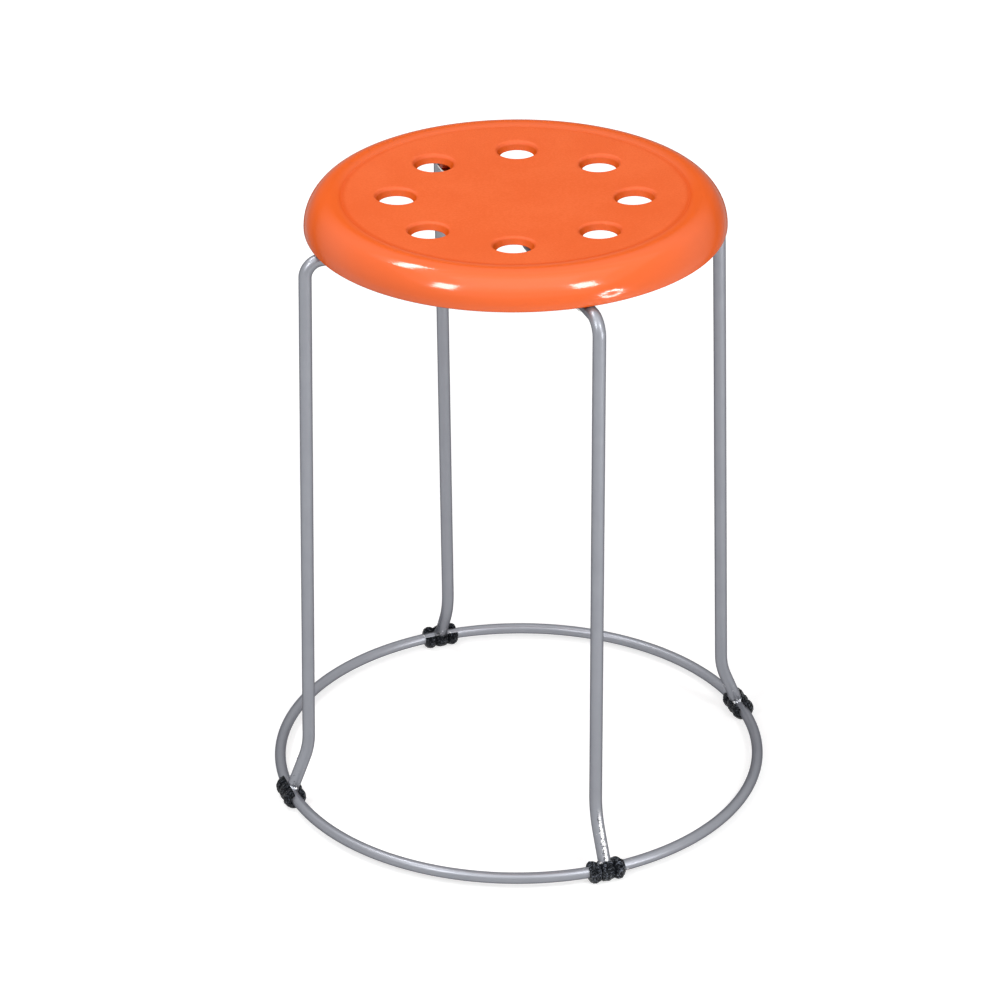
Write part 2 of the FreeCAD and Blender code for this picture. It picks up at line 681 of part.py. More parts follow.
def make_clamp(name, angle):
    """A steel strap bent round the underside of a leg rod, with a screw hole in each end."""
    body = new_body("seat_clamp_" + name, angle)
    thickness = "dims.clamp_thickness"
    end = "(dims.screw_offset + dims.clamp_end_margin)"
    outer_r = f"({CLAMP_ROD_R} + {thickness})"
    foot = f"{HOOP_Z} - {thickness}"
    root = f"sqrt({outer_r} ^ 2 - {thickness} ^ 2)"
    sketch = new_sketch(body, "strap_section", "YZ_Plane", height="dims.clamp_radius")
    draw_outline(sketch, [
        (f"-{end}", HOOP_Z),
        (f"-{end}", foot),
        (f"-{root}", foot),
        ("0", f"{HOOP_Z} - {outer_r}"),
        (root, foot),
        (end, foot),
        (end, HOOP_Z),
        (CLAMP_ROD_R, HOOP_Z),
        ("0", f"{HOOP_Z} - {CLAMP_ROD_R}"),
        (f"-{CLAMP_ROD_R}", HOOP_Z),
    ], {2: (outer_r, 1), 3: (outer_r, 1), 7: (CLAMP_ROD_R, -1), 8: (CLAMP_ROD_R, -1)})
    strap = add_feature(body, "Pad", "strap", sketch, Length="dims.clamp_width", Midplane=True)
    doc.recompute()

    end_y = value(end)
    corners = [edge_name for edge_name, edge in edge_names(strap)
               if all(abs(abs(spot.Point.y) - end_y) < 0.001 for spot in edge.Vertexes)
               and abs(edge.tangentAt(edge.FirstParameter).z) > 0.9]
    rounding = body.newObject("PartDesign::Fillet", "corner_rounds")
    rounding.Base = (strap, corners)
    rounding.setExpression("Radius", "dims.clamp_corner_round")

    holes = new_sketch(body, "screw_hole_plan", "XY_Plane", height=HOOP_Z)
    for side in ("", "-"):
        draw_circle(holes, "dims.clamp_radius", f"{side}dims.screw_offset",
                    "dims.screw_shank_diameter / 2 + dims.screw_hole_gap")
    add_feature(body, "Pocket", "screw_holes", holes, Length=f"2 * {thickness}", Midplane=True)
    return body


def opposite(coordinate):
    """The same coordinate on the other side of the axis."""
    return coordinate[1:] if coordinate.startswith("-") else "-" + coordinate


def make_screw(name, angle, side):
    """A pan-head screw with a cross recess, driven up through a strap into its boss."""
    body = new_body("clamp_screw_" + name, angle)
    sketch = new_sketch(body, "section", "XZ_Plane")
    shank_r = "dims.screw_shank_diameter / 2"
    head_r = "dims.screw_head_diameter / 2"
    head = "dims.screw_head_height"
    dome = f"({head} / 2)"
    dome_arc = f"(({head_r}) ^ 2 + {dome} ^ 2) / (2 * {dome})"
    draw_outline(sketch, [
        ("0", f"-{head}"),
        (head_r, f"-{dome}"),
        (head_r, "0"),
        (shank_r, "0"),
        (shank_r, "dims.screw_length - dims.screw_point"),
        ("0", "dims.screw_length"),
    ], {0: (dome_arc, 1)})
    turn_about(body, "Revolution", "screw", sketch)

    long, wide = "dims.recess_length / 2", "dims.recess_width / 2"
    arm = [(long, f"-{wide}"), (long, wide), (wide, wide)]
    arm += [(wide, long), (f"-{wide}", long), (f"-{wide}", wide)]
    cross = arm + [(opposite(x), opposite(y)) for x, y in arm]
    recess = new_sketch(body, "recess_plan", "XY_Plane", height=f"-{head}")
    draw_outline(recess, cross)
    add_feature(body, "Pocket", "cross_recess", recess, Reversed=True, Length="dims.recess_depth")
    offset = f"({side} * dims.screw_offset)"
    body.setExpression("Placement.Base.x",
                       f"dims.clamp_radius * cos({angle} deg) - {offset} * sin({angle} deg)")
    body.setExpression("Placement.Base.y",
                       f"dims.clamp_radius * sin({angle} deg) + {offset} * cos({angle} deg)")
    body.setExpression("Placement.Base.z", f"{HOOP_Z} - dims.clamp_thickness")
    return body


# Assembly

def make_stool():
    """All the sub-parts, in the order in which the stool is put together."""
    ring = make_base_ring()
    dip = [("dims.dip_outer", HOOP_Z), ("dims.dip_inner", DIP_Z)]
    rise = [("dims.rise_outer", HOOP_Z), ("dims.rise_inner", RISE_Z)]
    side_knee = "dims.side_knee_reach"
    front_knee = "dims.front_knee_reach"
    lower = make_hoop("hoop_left_right", 0, "dims.side_top_reach", side_knee, dip)
    upper = make_hoop("hoop_front_back", QUARTER_TURN, "dims.front_top_reach", front_knee, rise)
    pieces = [make_seat(), lower, upper, ring, make_crossing_weld(upper, lower)]
    for index, name in enumerate(LEG_NAMES):
        angle = QUARTER_TURN * index
        hoop, knee = (upper, front_knee) if index % 2 else (lower, side_knee)
        pieces.append(make_leg_weld(name, angle, knee, ring, hoop))
        pieces.append(make_foot(name, angle, knee))
        pieces.append(make_clamp(name, angle))
        pieces.append(make_screw(name + "_1", angle, 1))
        pieces.append(make_screw(name + "_2", angle, -1))
    return pieces


def check_and_export(pieces):
    """Stops on a failed object or shape, then writes one file for each sub-part."""
    doc.recompute()
    for item in doc.Objects:
        if "Invalid" in item.State or "Error" in item.State:
            raise RuntimeError("%s failed: %s" % (item.Label, item.State))
    os.makedirs("parts", exist_ok=True)
    for piece in pieces:
        shape = piece.Shape
        if shape.isNull() or not shape.isValid() or len(shape.Solids) != 1:
            raise RuntimeError("%s has no valid single solid" % piece.Label)
    for piece in pieces:
        piece.Shape.exportStep("parts/%s.step" % piece.Label)
        box = piece.Shape.BoundBox
        print("%-24s %9.1f mm3  z %.2f to %.2f" % (piece.Label, piece.Shape.Volume, box.ZMin, box.ZMax))


check_and_export(make_stool())
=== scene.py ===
"""Looks of a round stacking stool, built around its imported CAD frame."""
import math
import random

import bmesh
import bpy
from mathutils import Matrix, Vector, noise


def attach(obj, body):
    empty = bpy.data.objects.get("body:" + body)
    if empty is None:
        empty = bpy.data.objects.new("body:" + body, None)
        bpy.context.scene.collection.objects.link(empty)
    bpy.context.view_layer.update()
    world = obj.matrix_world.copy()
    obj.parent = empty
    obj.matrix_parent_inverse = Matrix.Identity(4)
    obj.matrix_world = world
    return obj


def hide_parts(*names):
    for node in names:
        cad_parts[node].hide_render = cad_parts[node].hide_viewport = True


MM = 0.001
LEG_ANGLES = {"right": 0.0, "back": 90.0, "left": 180.0, "front": 270.0}

# Seat sizes, in millimetres
TOTAL_HEIGHT = 450.0
SEAT_R = 145.0
CREST_INSET = 18.5
RIM_DROP = 22.0
RIM_SKIRT = 1.5
EDGE_ROUND = 1.0
SMALL_EDGE = 0.3
CREASE_INSET = 25.5
CREASE_DEPTH = 0.9
DISH_DEPTH = 3.4
DISH_FLAT_R = 25.0
WALL = 2.8
HOLE_RING_R = 81.5
HOLE_START = 24.0
HOLE_COUNT = 8
HOLE_TOP_R = 14.7
HOLE_BOTTOM_R = 11.8
HOLE_BOTTOM_EASE = 0.12
HOLE_DEPTH = 5.6
HOLE_LIP_ROUND = 2.2
COLLAR_WALL = 2.2
COLLAR_EDGE = 0.35
RIB_LEVEL = 12.5
RIB_THICKNESS = 1.8
RIB_RIM_MARGIN = 0.5
RIB_RIM_LEAN = 0.2
HUB_RIB_R = 30.0
OUTER_RIB_R = 104.0

# Frame sizes, in millimetres
LEG_ROD_R = 4.5
RING_ROD_R = 4.0
RING_R = 175.0
RING_Z = 7.5
HOOP_Z = 421.8
DIP_Z = 417.15
RISE_Z = 426.45
SIDE_TOP_REACH = 151.2
FRONT_TOP_REACH = 158.0
TOP_BEND_R = 12.0
SIDE_KNEE_REACH = 160.5
FRONT_KNEE_REACH = 155.0
KNEE_Z = 43.0
KNEE_BEND_R = 50.0
DIP_INNER = 12.0
DIP_OUTER = 106.0
RISE_INNER = 9.0
RISE_OUTER = 26.0
CROSSING_BEND_R = 20.0

# Seat fixings, in millimetres
CLAMP_R = 121.0
SCREW_OFFSET = 9.0
BOSS_R = 3.5
PILOT_R = 1.6
SADDLE_THICKNESS = 2.5
SADDLE_NOTCH_R = 4.6

# Weld beads, in millimetres
WELD_R = 5.8
WELD_LIFT = 2.2
WELD_BASE = 0.3
WELD_SINK = 0.4
WELD_TUCK = 1.2
WELD_SHRINK = 0.12
LUMP_ROUND_SCALE = 2.2
LUMP_HEIGHT_SCALE = 0.55
LUMP = 0.42
LUMP_FINE = 0.16
LUMP_FINE_SCALE = 3.1
RIPPLE = 0.13
RIPPLE_COUNT = 17
RIPPLE_WANDER = 1.4
RIPPLE_WANDER_SCALE = 0.7
LUMP_FROM = 0.6
LUMP_FADE = 0.2
RIPPLE_PHASES = (0, 6.28)
SPATTER_COUNT = 26
SPATTER_LOW = 6.5
SPATTER_SPAN = 20
SPATTER_POWER = 1.7
SPATTER_SIZES = (0.18, 0.5)
CROSSING_WELD_R = 5.8
CROSSING_LUMP = 0.035
CROSSING_LUMP_SCALE = 0.7
CROSSING_SHRINK = 0.02
RANDOM_SEED = 7

# Feet, in millimetres and degrees
FOOT_LENGTH = 26.0
FOOT_CROWN_R = 8.25
FOOT_GROOVE_DEPTH = 1.6
FOOT_END_DEPTH = 3.1
FOOT_MIDDLE_RIB = 9.8
FOOT_END_CROWN = 8.9
FOOT_BORE_R = 4.1
FOOT_SLOT_TILT = 22.0
FOOT_SLOT_HALF = 37.0
LIP_SWELL = 0.45
CRINKLE = 0.42
CRINKLE_SCALE = 0.55
CRINKLE_FINE = 0.22
CRINKLE_FINE_SCALE = 1.5
CRINKLE_FROM = 0.2
POCKET_WELD_GAP = 0.3
POCKET_ROD_GAP = 0.6
POCKET_SHOULDER = 0.4
POCKET_ARC = (-18, 38)
POCKET_TOP = 22.0

# Mesh fineness: counts of steps, radii of the disc's rings, shares, BEND_STEP in degrees and
# RUN_GAP in millimetres
SECTOR_OUT = 32
SECTOR_IN = 16
SECTOR_SIDE = 16
PATCH_IN_R = 58.0
PATCH_OUT_R = 104.9
DISC_RINGS = (3.0, 8.0, 15.0, DISH_FLAT_R, 34.0, 42.0, 50.0, PATCH_IN_R)
FACE_RINGS = (109.0, 113.0, 117.0)
HOLE_RAYS = 14
HOLE_RAY_POWER = 0.85
HOLE_LIP_STEPS = 8
HOLE_WALL_STEPS = 4
CREST_STEPS = 8
ROLL_TOP_STEPS = 14
ROLL_SIDE_STEPS = 16
EDGE_STEPS = 6
SMALL_EDGE_STEPS = 3
NOTCH_STEPS = 16
RIB_STEPS = 10
RIB_ROUND = 128
BOSS_ROUND = 32
ROD_SIDES = 40
BEND_STEP = 3.0
BEND_STEPS_LEAST = 8
RUN_GAP = 12.0
BASE_RING_ROUND = 288
WELD_ROUND = 96
WELD_STEPS = 26
FOOT_ROUND = 84
FOOT_ALONG = 96
LIP_SHARES = (0.06, 0.2, 0.5, 0.8, 0.94)
BORE_SHARE = 0.97
POCKET_ROUND = 72
POCKET_STEPS = 14

# Colours
SEAT_GLOSSY = (0.82, 0.116, 0.010)
SEAT_MATT = (0.855, 0.156, 0.047)
SEAT_MATT_DEEP = (0.815, 0.136, 0.037)
# Painted shade, darkening the holes' walls and the underside below them
SEAT_HOLE_SHADE = (0.68, 0.098, 0.010)
# Painted shade in the crease, stronger where the crease is seen at a flat angle
SEAT_CREASE_SHADE = (0.71, 0.065, 0.000)
# Painted shade on the rim's far edge, where it is seen at a flat angle
SEAT_RIM_EDGE_SHADE = (0.46, 0.090, 0.030)
ROD_GREY = (0.270, 0.280, 0.312)
ROD_GREY_LIGHT = (0.315, 0.325, 0.356)
# Painted shade on the rods where they turn away from the eye
ROD_EDGE_SHADE = (0.150, 0.155, 0.175)
ROD_EDGE = (0.17, 0.17, 0.20)
BARE_STEEL = (0.78, 0.78, 0.79)
CHIP_DARK = (0.03, 0.03, 0.035)
FOOT_BLACK = (0.002, 0.003, 0.005)
# Grey of the feet's scuffs, raised on the front foot as painted light
FOOT_SCUFF_AND_FRONT_LIGHT = (0.20, 0.22, 0.27)
FOOT_SHEEN = (0.86, 0.92, 1.0)
ZINC = (0.55, 0.56, 0.56)
ZINC_WARM = (0.50, 0.49, 0.44)
WHITE = (1.0, 1.0, 1.0)
FLOOR_GREY = (0.5, 0.5, 0.5)

# Noise textures: scale in a metre, detail and, where it isn't 0.5, roughness
SEAT_CLOUDS = (22.0, 2.0)
SEAT_MOTTLE = (620.0, 2.0)
SEAT_PITS = (2200.0, 1.0)
ROD_WEAR = (240.0, 4.0, 0.65)
ROD_RAGGED = (420.0, 4.0, 0.7)
ROD_CLOUDS = (60.0, 2.0)
ROD_FLECKS = (700.0, 3.0)
ROD_POLISH = (400.0, 2.0)
ROD_RELIEF = (1800.0, 2.0)
WELD_WEAR = (300.0, 3.0)
WELD_RELIEF = (900.0, 3.0)
FOOT_SCUFFS = (620.0, 3.0, 0.7)
FOOT_SHINE = (760.0, 2.0, 0.6)
FOOT_GRAIN = (480.0, 3.0, 0.6)
ZINC_BLOOM = (130.0, 3.0)
ZINC_LINES = (260.0, 2.0)
ZINC_LINE_STRETCH = 14.0

# Cell textures: scale in a metre
SEAT_CELLS = 900.0
FOOT_CELLS = 620.0

# Limits of the smooth steps in the noise
SEAT_CLOUD_LIMITS = (0.65, 1.25)
ROD_WEAR_LIMITS = (0.60, 0.66)
ROD_FLECK_LIMITS = (0.56, 0.60)
WELD_WEAR_LIMITS = (0.55, 0.62)
FOOT_SCUFF_LIMITS = (0.52, 0.64)
FOOT_SHINE_LIMITS = (0.48, 0.60)

# Where the looks change, in metres: distances from the axis, heights and places across
DISC_EDGE = (0.1186, 0.1196)
# Radii of the painted shade in the crease
CREASE_SHADE_START = (0.1150, 0.1186)
CREASE_SHADE_END = (0.1192, 0.1220)
# Painted shade in the holes and under the disc: below this height, from the next radii out
HOLE_SHADE_TOP = (0.4446, 0.4458)
HOLE_SHADE_START = (0.060, 0.064)
# Painted shade on the rim from this radius out
RIM_EDGE_SHADE_START = (0.124, 0.130)
WEAR_TOP = (0.010, 0.040)
WEAR_REACH = (0.010, 0.022)
CHIP_LEFT = (-0.0012, -0.0008)
CHIP_RIGHT = (0.0012, 0.0018)
CHIP_LOW = (0.010, 0.013)
CHIP_TOP = (0.036, 0.050)
CHIP_FRONT = (-0.148, -0.153)
CHIP_RAGGED = 0.006
CHIP_SHADE = (-0.0012, 0.0006)
FOOT_CROWN = (0.0002, 0.0015)
# Across these places along y, the scuffs and gloss rise to full on the front foot as painted light
FOOT_FRONT_LIGHT_SPAN = (-0.130, -0.150)

# Where the looks change as a face turns away, from 0 seen square to 1 seen at its edge
# Painted shade in the crease grows over this turn
CREASE_SHADE_TURN = (0.49, 0.60)
# Painted shade on the rim's edge grows over this turn
RIM_EDGE_SHADE_TURN = (0.66, 0.90)
GLOSS_TURN = (0.36, 0.615)
GLOSS_END = (0.78, 0.90)
# Painted shade on the rods grows over this turn
ROD_EDGE_SHADE_TURN = (0.30, 0.85)

# Strengths of the looks; where there are two, the first is the least and the second is added
# Strength of the painted shade in the crease
CREASE_SHADE_SHARE = 0.45
# Strength of the painted shade on the rim's edge
RIM_EDGE_SHADE_SHARE = 0.6
GLOSS_SQUARE = 0.5
GLOSS_FLAT = 0.012
DISC_DULL = 0.5
SEAT_ROUGHNESS = (0.12, 0.42)
SEAT_BUMP = 0.35
SEAT_BUMP_HEIGHT = 0.0003
CHIP_SHADE_LEFT = 0.14
CHIP_SHADE_RIGHT = -0.05
ROD_METAL = 0.6
ROD_ROUGHNESS = (0.33, 0.08)
ROD_BUMP = 0.35
ROD_BUMP_HEIGHT = 0.0001
ROD_RELIEF_SHARE = 0.2
WELD_METAL = 0.7
WELD_ROUGHNESS = 0.3
WELD_BUMP = 0.35
WELD_BUMP_HEIGHT = 0.0003
# Share of the scuffs and gloss on the feet other than the front one, which gets painted light
FOOT_WEAR_OUTSIDE_FRONT_LIGHT = 0.35
FOOT_ROUGHNESS = 0.24
FOOT_GLOSS = (0.10, 0.65)
FOOT_BUMP = 1.0
FOOT_BUMP_HEIGHT = 0.0022
ZINC_ROUGHNESS = 0.34
ZINC_BUMP = 0.15
ZINC_BUMP_HEIGHT = 0.0001

# Camera, fitted to the photograph's perspective, in millimetres and degrees
CAMERA_PLACE = (-835.8, -2283.8, 1496.0)
CAMERA_PITCH = 27.826
# The fitted yaw, less the angle by which the stool is turned in its frame
CAMERA_YAW = 0.287 - 20.1
CAMERA_ROLL = -0.480
CAMERA_LENS = 139.39
CAMERA_SENSOR = 36.0

# Studio, in metres and degrees
CAMERA_REACH = 50.0
WORLD_FILL = 0.03
FLOOR_R = 6.0
FLOOR_ROUND = 96
FLOOR_DROP = 0.0002
FLOOR_ROUGHNESS = 0.9
FLOOR_LIFT = 0.68
FLOOR_LIFT_REACH = (0.35, 1.5)
CAMERA_AZIMUTH = -110.1
LAMP_TARGET = Vector((0.0, 0.0, 0.42))
RING_LAMPS = 10
RING_AZIMUTH = 48.1
RING_ELEVATION = -1.6
RING_DISTANCE = 1.5
RING_HALF_WIDTH = 0.13
RING_HALF_HEIGHT = 0.20
RING_LAMP_SIZE = (0.066, 0.066)
RING_GLOW = 46.0

# Large lamps: name, azimuth from the camera's, elevation, distance, size, glow, roll
LAMPS = (
    ("window_left", -39.6, 32.9, 1.6, (0.28, 0.38), 23.0, 0.0),
    ("window_right", 38.7, 34.9, 1.6, (0.30, 0.38), 23.0, 0.0),
    ("streak", -106.5, 59.6, 1.7, (0.66, 0.20), 23.0, -30.0),
    ("front_softbox", 0.0, 60.0, 1.9, (1.7, 1.2), 0.6, 0.0),
    ("front_veil", 0.0, 63.0, 2.0, (3.0, 2.4), 0.45, 0.0),
    ("wide_veil", 0.0, 66.0, 2.1, (5.0, 5.2), 0.35, 0.0),
)


def polar(radius, degrees, z=0.0):
    """A point at a radius and an angle about the stool's axis."""
    angle = math.radians(degrees)
    return Vector((radius * math.cos(angle), radius * math.sin(angle), z))


def circle_points(radius, z, count, start=0.0):
    """Points at even steps round the axis."""
    return [polar(radius, start + 360.0 * index / count, z) for index in range(count)]


def arc_points(centre, radius, start, stop, count):
    """Points of an arc in a section, from one angle to another in degrees."""
    angles = [start + (stop - start) * step / count for step in range(count + 1)]
    return [(centre[0] + radius * math.cos(math.radians(a)),
             centre[1] + radius * math.sin(math.radians(a))) for a in angles]


def turn_matrix(degrees):
    """A turn about the stool's axis."""
    return Matrix.Rotation(math.radians(degrees), 4, "Z")


def finish_mesh(name, bm, sharp=40.0):
    """Closes a bmesh made in millimetres into an object in metres with smooth faces."""
    bmesh.ops.remove_doubles(bm, verts=bm.verts, dist=1e-4)
    bmesh.ops.recalc_face_normals(bm, faces=bm.faces)
    limit = math.radians(sharp)
    for face in bm.faces:
        face.smooth = True
    for edge in bm.edges:
        if len(edge.link_faces) == 2 and edge.calc_face_angle(0.0) > limit:
            edge.smooth = False
    bmesh.ops.scale(bm, vec=(MM, MM, MM), verts=bm.verts)
    mesh = bpy.data.meshes.new(name)
    bm.to_mesh(mesh)
    bm.free()
    obj = bpy.data.objects.new(name, mesh)
    bpy.context.scene.collection.objects.link(obj)
    return obj


def new_ring(bm, points):
    """Vertices at a row of points."""
    return [bm.verts.new(point) for point in points]


def join_rings(bm, first, second):
    """Faces between two closed rows of vertices of one length."""
    count = len(first)
    for index in range(count):
        after = (index + 1) % count
        bm.faces.new((first[index], first[after], second[after], second[index]))


def join_rows(bm, rows):
    """Faces between each closed row of vertices and the next."""
    for first, second in zip(rows, rows[1:]):
        join_rings(bm, first, second)


def add_caps(bm, rings):
    """A flat face over each end of a row of rings."""
    bm.faces.new(rings[0])
    bm.faces.new(rings[-1][::-1])


def fan(bm, centre, ring):
    """Triangles between a ring and one vertex at its middle."""
    for index, vert in enumerate(ring):
        bm.faces.new((vert, ring[(index + 1) % len(ring)], centre))


def add_revolved(bm, section, count):
    """A closed section turned fully round the axis."""
    rings = [new_ring(bm, circle_points(radius, z, count)) for radius, z in section]
    join_rows(bm, rings + rings[:1])


# Seat section

CREST_R = SEAT_R - CREST_INSET
CREASE_R = SEAT_R - CREASE_INSET
CREASE_Z = TOTAL_HEIGHT - CREASE_DEPTH
DISH_Z = CREASE_Z - DISH_DEPTH
WIDEST_Z = TOTAL_HEIGHT - RIM_DROP
RIM_Z = WIDEST_Z - RIM_SKIRT
RIB_Z = TOTAL_HEIGHT - RIB_LEVEL

# Radii of the arcs of the dish and the crest, and of the rolled rim's two arcs, which meet at
# 45 degrees
DISH_ARC = ((CREASE_R - DISH_FLAT_R) ** 2 + DISH_DEPTH ** 2) / (2 * DISH_DEPTH)
CREST_ARC = ((CREST_R - CREASE_R) ** 2 + CREASE_DEPTH ** 2) / (2 * CREASE_DEPTH)
DIAGONAL = math.sqrt(0.5)
ROLL_TOP = (CREST_INSET * DIAGONAL - RIM_DROP * (1 - DIAGONAL)) / (math.sqrt(2) - 1)
ROLL_SIDE = (RIM_DROP * DIAGONAL - CREST_INSET * (1 - DIAGONAL)) / (math.sqrt(2) - 1)


def dish_height(radius):
    """Height of the disc's upper face at a distance from the axis."""
    reach = max(radius - DISH_FLAT_R, 0.0)
    return DISH_Z + DISH_ARC - math.sqrt(DISH_ARC ** 2 - reach ** 2)


def rim_section(depth):
    """The section from the crease over the rolled rim to the skirt, at a depth inside the face."""
    crest_span = math.degrees(math.asin((CREST_R - CREASE_R) / CREST_ARC))
    crest = (CREST_R, TOTAL_HEIGHT - depth - CREST_ARC)
    top = (CREST_R, TOTAL_HEIGHT - ROLL_TOP)
    side = (SEAT_R - ROLL_SIDE, WIDEST_Z)
    points = arc_points(crest, CREST_ARC, 90 + crest_span, 90, CREST_STEPS)
    points += arc_points(top, ROLL_TOP - depth, 90, 45, ROLL_TOP_STEPS)[1:]
    points += arc_points(side, ROLL_SIDE - depth, 45, 0, ROLL_SIDE_STEPS)[1:]
    return points


def hole_angle(index):
    """Angle of a hole; an index and a half lies midway between two holes."""
    return HOLE_START + index * 360.0 / HOLE_COUNT


def face_ring(bm, radius, z, count):
    """A ring of vertices round the axis, the first one midway between two holes."""
    return new_ring(bm, circle_points(radius, z, count, hole_angle(-0.5)))


def add_face_side(bm, depth, hole_r):
    """One side of the disc, its holes left open. Returns the holes' rings and the outer ring."""
    inner_count = SECTOR_IN * HOLE_COUNT
    outer_count = SECTOR_OUT * HOLE_COUNT
    centre = bm.verts.new((0.0, 0.0, DISH_Z - depth))
    rings = [face_ring(bm, r, dish_height(r) - depth, inner_count) for r in DISC_RINGS]
    fan(bm, centre, rings[0])
    join_rows(bm, rings)
    inner = rings[-1]
    outer = face_ring(bm, PATCH_OUT_R, dish_height(PATCH_OUT_R) - depth, outer_count)
    sides = []
    for sector in range(HOLE_COUNT):
        row = []
        for step in range(1, SECTOR_SIDE):
            radius = PATCH_OUT_R + (PATCH_IN_R - PATCH_OUT_R) * step / SECTOR_SIDE
            height = dish_height(radius) - depth
            row.append(bm.verts.new(polar(radius, hole_angle(sector - 0.5), height)))
        sides.append(row)
    holes = []
    for sector in range(HOLE_COUNT):
        following = (sector + 1) % HOLE_COUNT
        top = [outer[(sector * SECTOR_OUT + step) % outer_count] for step in range(SECTOR_OUT + 1)]
        low = [inner[(sector * SECTOR_IN + step) % inner_count] for step in range(SECTOR_IN + 1)]
        border = top + sides[following] + low[::-1] + sides[sector][::-1]
        middle = polar(HOLE_RING_R, hole_angle(sector))
        count = len(border)
        start = hole_angle(sector) - 180.0 * SECTOR_OUT / count
        rim = [middle + point for point in circle_points(hole_r, 0.0, count, start)]
        rows = [border]
        for step in range(1, HOLE_RAYS + 1):
            share = (step / HOLE_RAYS) ** HOLE_RAY_POWER
            ring = []
            for spot, vert in zip(rim, border):
                point = vert.co.lerp(spot, share)
                point.z = dish_height(math.hypot(point.x, point.y)) - depth
                ring.append(bm.verts.new(point))
            rows.append(ring)
        join_rows(bm, rows)
        holes.append(rows[-1])
    return holes, outer


def hole_section():
    """The section of a hole's wall from the disc's face down, inside and up its collar."""
    taper = math.degrees(math.atan((HOLE_TOP_R - HOLE_BOTTOM_R) / HOLE_DEPTH))
    start = HOLE_TOP_R + HOLE_LIP_ROUND / math.tan(math.radians((90 + taper) / 2))
    centre = (start, -HOLE_LIP_ROUND)
    points = arc_points(centre, HOLE_LIP_ROUND, 90, 180 - taper, HOLE_LIP_STEPS)
    lip_r, lip_z = points[-1]
    for step in range(1, HOLE_WALL_STEPS):
        share = step / HOLE_WALL_STEPS
        points.append((lip_r + (HOLE_BOTTOM_R - lip_r) * share,
                       lip_z + (-HOLE_DEPTH - lip_z) * share))
    collar = HOLE_BOTTOM_R + COLLAR_WALL
    root = collar + (HOLE_DEPTH - WALL) * math.tan(math.radians(taper))
    points += [(HOLE_BOTTOM_R + HOLE_BOTTOM_EASE, -HOLE_DEPTH + SMALL_EDGE),
               (HOLE_BOTTOM_R + COLLAR_EDGE, -HOLE_DEPTH),
               (collar - COLLAR_EDGE, -HOLE_DEPTH),
               (collar, -HOLE_DEPTH + SMALL_EDGE),
               (root, -WALL)]
    return points


def add_hole_wall(bm, section, middle, top, low):
    """A hole's wall between its rings in the upper and the lower side of the disc."""
    face_z = dish_height(HOLE_RING_R)
    rows = [top]
    for radius, drop in section[1:-1]:
        share = -drop / HOLE_DEPTH
        ring = []
        for vert in top:
            way = Vector((vert.co.x - middle.x, vert.co.y - middle.y, 0.0)).normalized()
            point = middle + way * radius
            point.z = vert.co.z * (1 - share) + face_z * share + drop
            ring.append(bm.verts.new(point))
        rows.append(ring)
    join_rows(bm, rows + [low])


def make_seat_shell():
    """The disc with its holes and the rolled rim, one closed skin."""
    bm = bmesh.new()
    section = hole_section()
    top_holes, top_outer = add_face_side(bm, 0.0, section[0][0])
    low_holes, low_outer = add_face_side(bm, WALL, section[-1][0])
    for sector, (top, low) in enumerate(zip(top_holes, low_holes)):
        add_hole_wall(bm, section, polar(HOLE_RING_R, hole_angle(sector)), top, low)
    count = SECTOR_OUT * HOLE_COUNT
    outside = [(r, dish_height(r)) for r in FACE_RINGS] + rim_section(0.0)
    edge = (SEAT_R - EDGE_ROUND, RIM_Z + EDGE_ROUND)
    outside += arc_points(edge, EDGE_ROUND, 0, -90, EDGE_STEPS)
    inside = [(r, dish_height(r) - WALL) for r in FACE_RINGS] + rim_section(WALL)
    edge = (SEAT_R - WALL + SMALL_EDGE, RIM_Z + SMALL_EDGE)
    inside += arc_points(edge, SMALL_EDGE, 180, 270, SMALL_EDGE_STEPS)
    rings = [face_ring(bm, radius, z, count) for radius, z in outside + inside[::-1]]
    join_rows(bm, [top_outer] + rings + [low_outer])
    return finish_mesh("seat_shell", bm, sharp=50.0)


def add_plate(bm, outline, thickness, place):
    """A flat plate with its outline in a plane, moved into place by a matrix."""
    half = thickness / 2
    front = [bm.verts.new(place @ Vector((x, -half, z))) for x, z in outline]
    back = [bm.verts.new(place @ Vector((x, half, z))) for x, z in outline]
    add_caps(bm, [front, back])
    join_rings(bm, front, back)


def add_ring_ribs(bm, root):
    """The ribs that run round the axis, inside and outside the ring of holes."""
    for radius in (HUB_RIB_R, OUTER_RIB_R):
        inside, outside = radius - RIB_THICKNESS / 2, radius + RIB_THICKNESS / 2
        top = dish_height(radius) - root
        section = [(inside, RIB_Z + SMALL_EDGE), (inside + SMALL_EDGE, RIB_Z),
                   (outside - SMALL_EDGE, RIB_Z), (outside, RIB_Z + SMALL_EDGE),
                   (outside, top), (inside, top)]
        add_revolved(bm, section, RIB_ROUND)


def add_radial_ribs(bm, root):
    """The ribs from the hub to the rim, one between each two holes."""
    reach = [HUB_RIB_R + (CREASE_R - HUB_RIB_R) * step / RIB_STEPS for step in range(RIB_STEPS)]
    outline = [(r, dish_height(r) - root) for r in reach]
    outline += [(r, z) for r, z in rim_section(root) if z > RIB_Z + RIB_RIM_MARGIN]
    outline += [(outline[-1][0] + RIB_RIM_LEAN, RIB_Z), (HUB_RIB_R, RIB_Z)]
    for index in range(HOLE_COUNT):
        add_plate(bm, outline, RIB_THICKNESS, turn_matrix(hole_angle(index + 0.5)))


